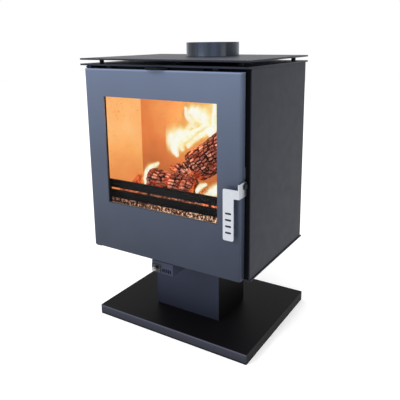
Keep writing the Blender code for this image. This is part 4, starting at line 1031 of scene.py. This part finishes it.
# Each flame: its name, how far it stands ahead of the back liner, its noise seed, the size of its faces,
# how far its edges wander, how hot its heart is, and its spines of (x, z, half width).
FLAMES = (
    ("flame_main", 0.036, 3.0, 0.0014, 0.008, 1.0, (
        ((-0.044, 0.446, 0.008), (-0.056, 0.464, 0.023), (-0.054, 0.481, 0.034), (-0.038, 0.492, 0.032),
         (-0.022, 0.500, 0.022), (-0.006, 0.502, 0.012)),
        ((-0.004, 0.560, 0.008), (0.012, 0.562, 0.023), (0.030, 0.550, 0.028), (0.044, 0.536, 0.018),
         (0.030, 0.520, 0.010), (0.012, 0.505, 0.009), (-0.004, 0.490, 0.009), (-0.018, 0.478, 0.005)),
        ((0.067, 0.600, 0.009), (0.070, 0.575, 0.011), (0.064, 0.550, 0.009), (0.066, 0.530, 0.009),
         (0.060, 0.510, 0.009)),
        ((-0.012, 0.468, 0.005), (0.015, 0.488, 0.007), (0.045, 0.509, 0.008), (0.075, 0.530, 0.009)),
    )),
    ("flame_veil", 0.014, 11.0, 0.0014, 0.008, 1.0, (
        ((-0.040, 0.452, 0.006), (-0.046, 0.480, 0.011), (-0.030, 0.505, 0.011), (-0.010, 0.530, 0.009),
         (0.006, 0.556, 0.008)),
        ((-0.030, 0.572, 0.006), (-0.022, 0.552, 0.009), (-0.010, 0.534, 0.009), (0.002, 0.514, 0.008)),
        ((0.020, 0.500, 0.008), (0.050, 0.528, 0.010), (0.072, 0.556, 0.010), (0.082, 0.585, 0.007)),
    )),
    ("flame_haze", 0.008, 29.0, 0.0020, 0.010, 0.62, (
        ((-0.044, 0.476, 0.020), (-0.016, 0.500, 0.026), (0.016, 0.524, 0.032), (0.050, 0.544, 0.030),
         (0.080, 0.560, 0.026)),
        ((0.020, 0.545, 0.026), (0.050, 0.575, 0.022), (0.085, 0.600, 0.016)),
    )),
    ("flame_small_left", 0.074, 17.0, 0.0011, 0.005, 1.0, (
        ((-0.116, 0.364, 0.011), (-0.118, 0.386, 0.013), (-0.111, 0.404, 0.010), (-0.098, 0.416, 0.010),
         (-0.082, 0.426, 0.006)),
        ((-0.108, 0.370, 0.005), (-0.104, 0.388, 0.006), (-0.100, 0.402, 0.004)),
    )),
    ("flame_low_right", 0.112, 23.0, 0.0011, 0.006, 1.0, (
        ((0.082, 0.370, 0.009), (0.096, 0.382, 0.014), (0.114, 0.394, 0.015), (0.128, 0.408, 0.008)),
        ((0.066, 0.380, 0.004), (0.074, 0.396, 0.005), (0.086, 0.404, 0.004)),
    )),
)


class STOVE_OT_flames(bpy.types.Operator):
    """Make the flames behind the logs, the small one at the left and the glow at the right"""

    bl_idname = "stove.flames"
    bl_label = "Flames"

    def execute(self, context):
        settings = context.scene.stove_fire
        noise.seed_set(settings.flame_seed)
        material = flame_light(settings)
        low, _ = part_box("liner_back")
        for name, ahead, seed, step, ripple, heart, spines in FLAMES:
            flame_sheet(name, low.y - ahead, spines, seed, material, step, ripple, heart)
        return {"FINISHED"}


# ---------------------------------------------------------------- stage
CAMERA_PLACE = (0.684, -1.100, 0.740)
CAMERA_YAW = 0.5603
CAMERA_PITCH = 0.2222
CAMERA_ROLL = -0.0118
CAMERA_LENS = 45.28
CAMERA_SHIFT = -0.12
STOVE_MIDDLE = (0, 0, 0.42)
KEY_PLACE = (-1.1, -2.2, 1.9)
FILL_PLACE = (2.4, -0.6, 1.3)
FILL_SHARE = 0.14                    # the fill's power as a share of the key's
FIRE_PLACE = (-0.02, -0.085, 0.53)


def make_camera():
    """Camera in front, to the right and a little above the stove."""
    data = bpy.data.cameras.new("camera")
    data.sensor_width = 36.0
    data.lens = CAMERA_LENS
    data.shift_y = CAMERA_SHIFT
    forward = Vector((-math.sin(CAMERA_YAW) * math.cos(CAMERA_PITCH),
                      math.cos(CAMERA_YAW) * math.cos(CAMERA_PITCH), -math.sin(CAMERA_PITCH)))
    level = Vector((math.cos(CAMERA_YAW), math.sin(CAMERA_YAW), 0))
    upright = level.cross(forward)
    right = math.cos(CAMERA_ROLL) * level + math.sin(CAMERA_ROLL) * upright
    up = math.cos(CAMERA_ROLL) * upright - math.sin(CAMERA_ROLL) * level
    camera = add_object("camera", data)
    turn = Matrix((right, up, -forward)).transposed().to_4x4()
    camera.matrix_world = Matrix.Translation(CAMERA_PLACE) @ turn
    bpy.context.scene.camera = camera


def area_light(name, place, size, power):
    """A square soft light that points at the stove's middle."""
    data = bpy.data.lights.new(name, "AREA")
    data.energy = power
    data.size = size
    lamp = add_object(name, data)
    lamp.location = place
    lamp.rotation_euler = (Vector(STOVE_MIDDLE) - Vector(place)).to_track_quat("-Z", "Y").to_euler()


class STOVE_OT_stage(bpy.types.Operator):
    """Make the floor, the room light, the lamps and the camera"""

    bl_idname = "stove.stage"
    bl_label = "Stage"

    def execute(self, context):
        settings = context.scene.stove_stage
        half = settings.floor_size / 2
        mesh = bpy.data.meshes.new("floor")
        corners = [(-half, -half, 0), (half, -half, 0), (half, half, 0), (-half, half, 0)]
        mesh.from_pydata(corners, [], [(0, 1, 2, 3)])
        floor = add_object("floor", mesh)
        pale = Finish("floor_pale", (0.93, 0.93, 0.93), 0.9)
        pale.set("Emission Color", (1.0, 1.0, 1.0, 1.0))
        pale.set("Emission Strength", settings.floor_light)
        mesh.materials.append(pale.material)
        world = bpy.data.worlds.new("room")
        world.use_nodes = True
        sky = world.node_tree.nodes["Background"].inputs
        sky["Color"].default_value = (1.0, 1.0, 1.0, 1.0)
        sky["Strength"].default_value = settings.sky
        context.scene.world = world
        context.scene.view_settings.view_transform = "Standard"
        area_light("key", KEY_PLACE, 1.6, settings.key_power)
        area_light("right_fill", FILL_PLACE, 1.2, settings.key_power * FILL_SHARE)
        make_camera()
        fire = bpy.data.lights.new("fire", "POINT")
        fire.energy = settings.fire_power
        fire.color = (1.0, 0.50, 0.18)
        fire.shadow_soft_size = 0.05
        add_object("fire", fire).location = FIRE_PLACE
        return {"FINISHED"}


class STOVE_PT_looks(bpy.types.Panel):
    """The stove's settings and steps"""

    bl_label = "Stove"
    bl_idname = "STOVE_PT_looks"
    bl_space_type = "VIEW_3D"
    bl_region_type = "UI"
    bl_category = "Stove"

    def draw(self, context):
        for group in GROUPS:
            settings = getattr(context.scene, group)
            for key in settings.__annotations__:
                self.layout.prop(settings, key)
        for step in STEPS:
            self.layout.operator(step.bl_idname)


GROUPS = {"stove_finish": StoveFinishSettings, "stove_fire": StoveFireSettings,
          "stove_stage": StoveStageSettings}
STEPS = (STOVE_OT_stage, STOVE_OT_shell, STOVE_OT_door, STOVE_OT_seal, STOVE_OT_handle, STOVE_OT_liners,
         STOVE_OT_logs, STOVE_OT_embers, STOVE_OT_flames)


def register():
    """Add the settings, steps and panel."""
    for kind in (*GROUPS.values(), *STEPS, STOVE_PT_looks):
        bpy.utils.register_class(kind)
    for name, kind in GROUPS.items():
        setattr(bpy.types.Scene, name, PointerProperty(type=kind))


def unregister():
    """Take the settings, steps and panel away."""
    for name in GROUPS:
        delattr(bpy.types.Scene, name)
    for kind in (STOVE_PT_looks, *reversed(STEPS), *GROUPS.values()):
        bpy.utils.unregister_class(kind)


def main():
    """Add the settings, steps and panel, and build everything in order."""
    register()
    for step in STEPS:
        group, name = step.bl_idname.split(".")
        getattr(getattr(bpy.ops, group), name)()


if __name__ == "__main__":
    main()
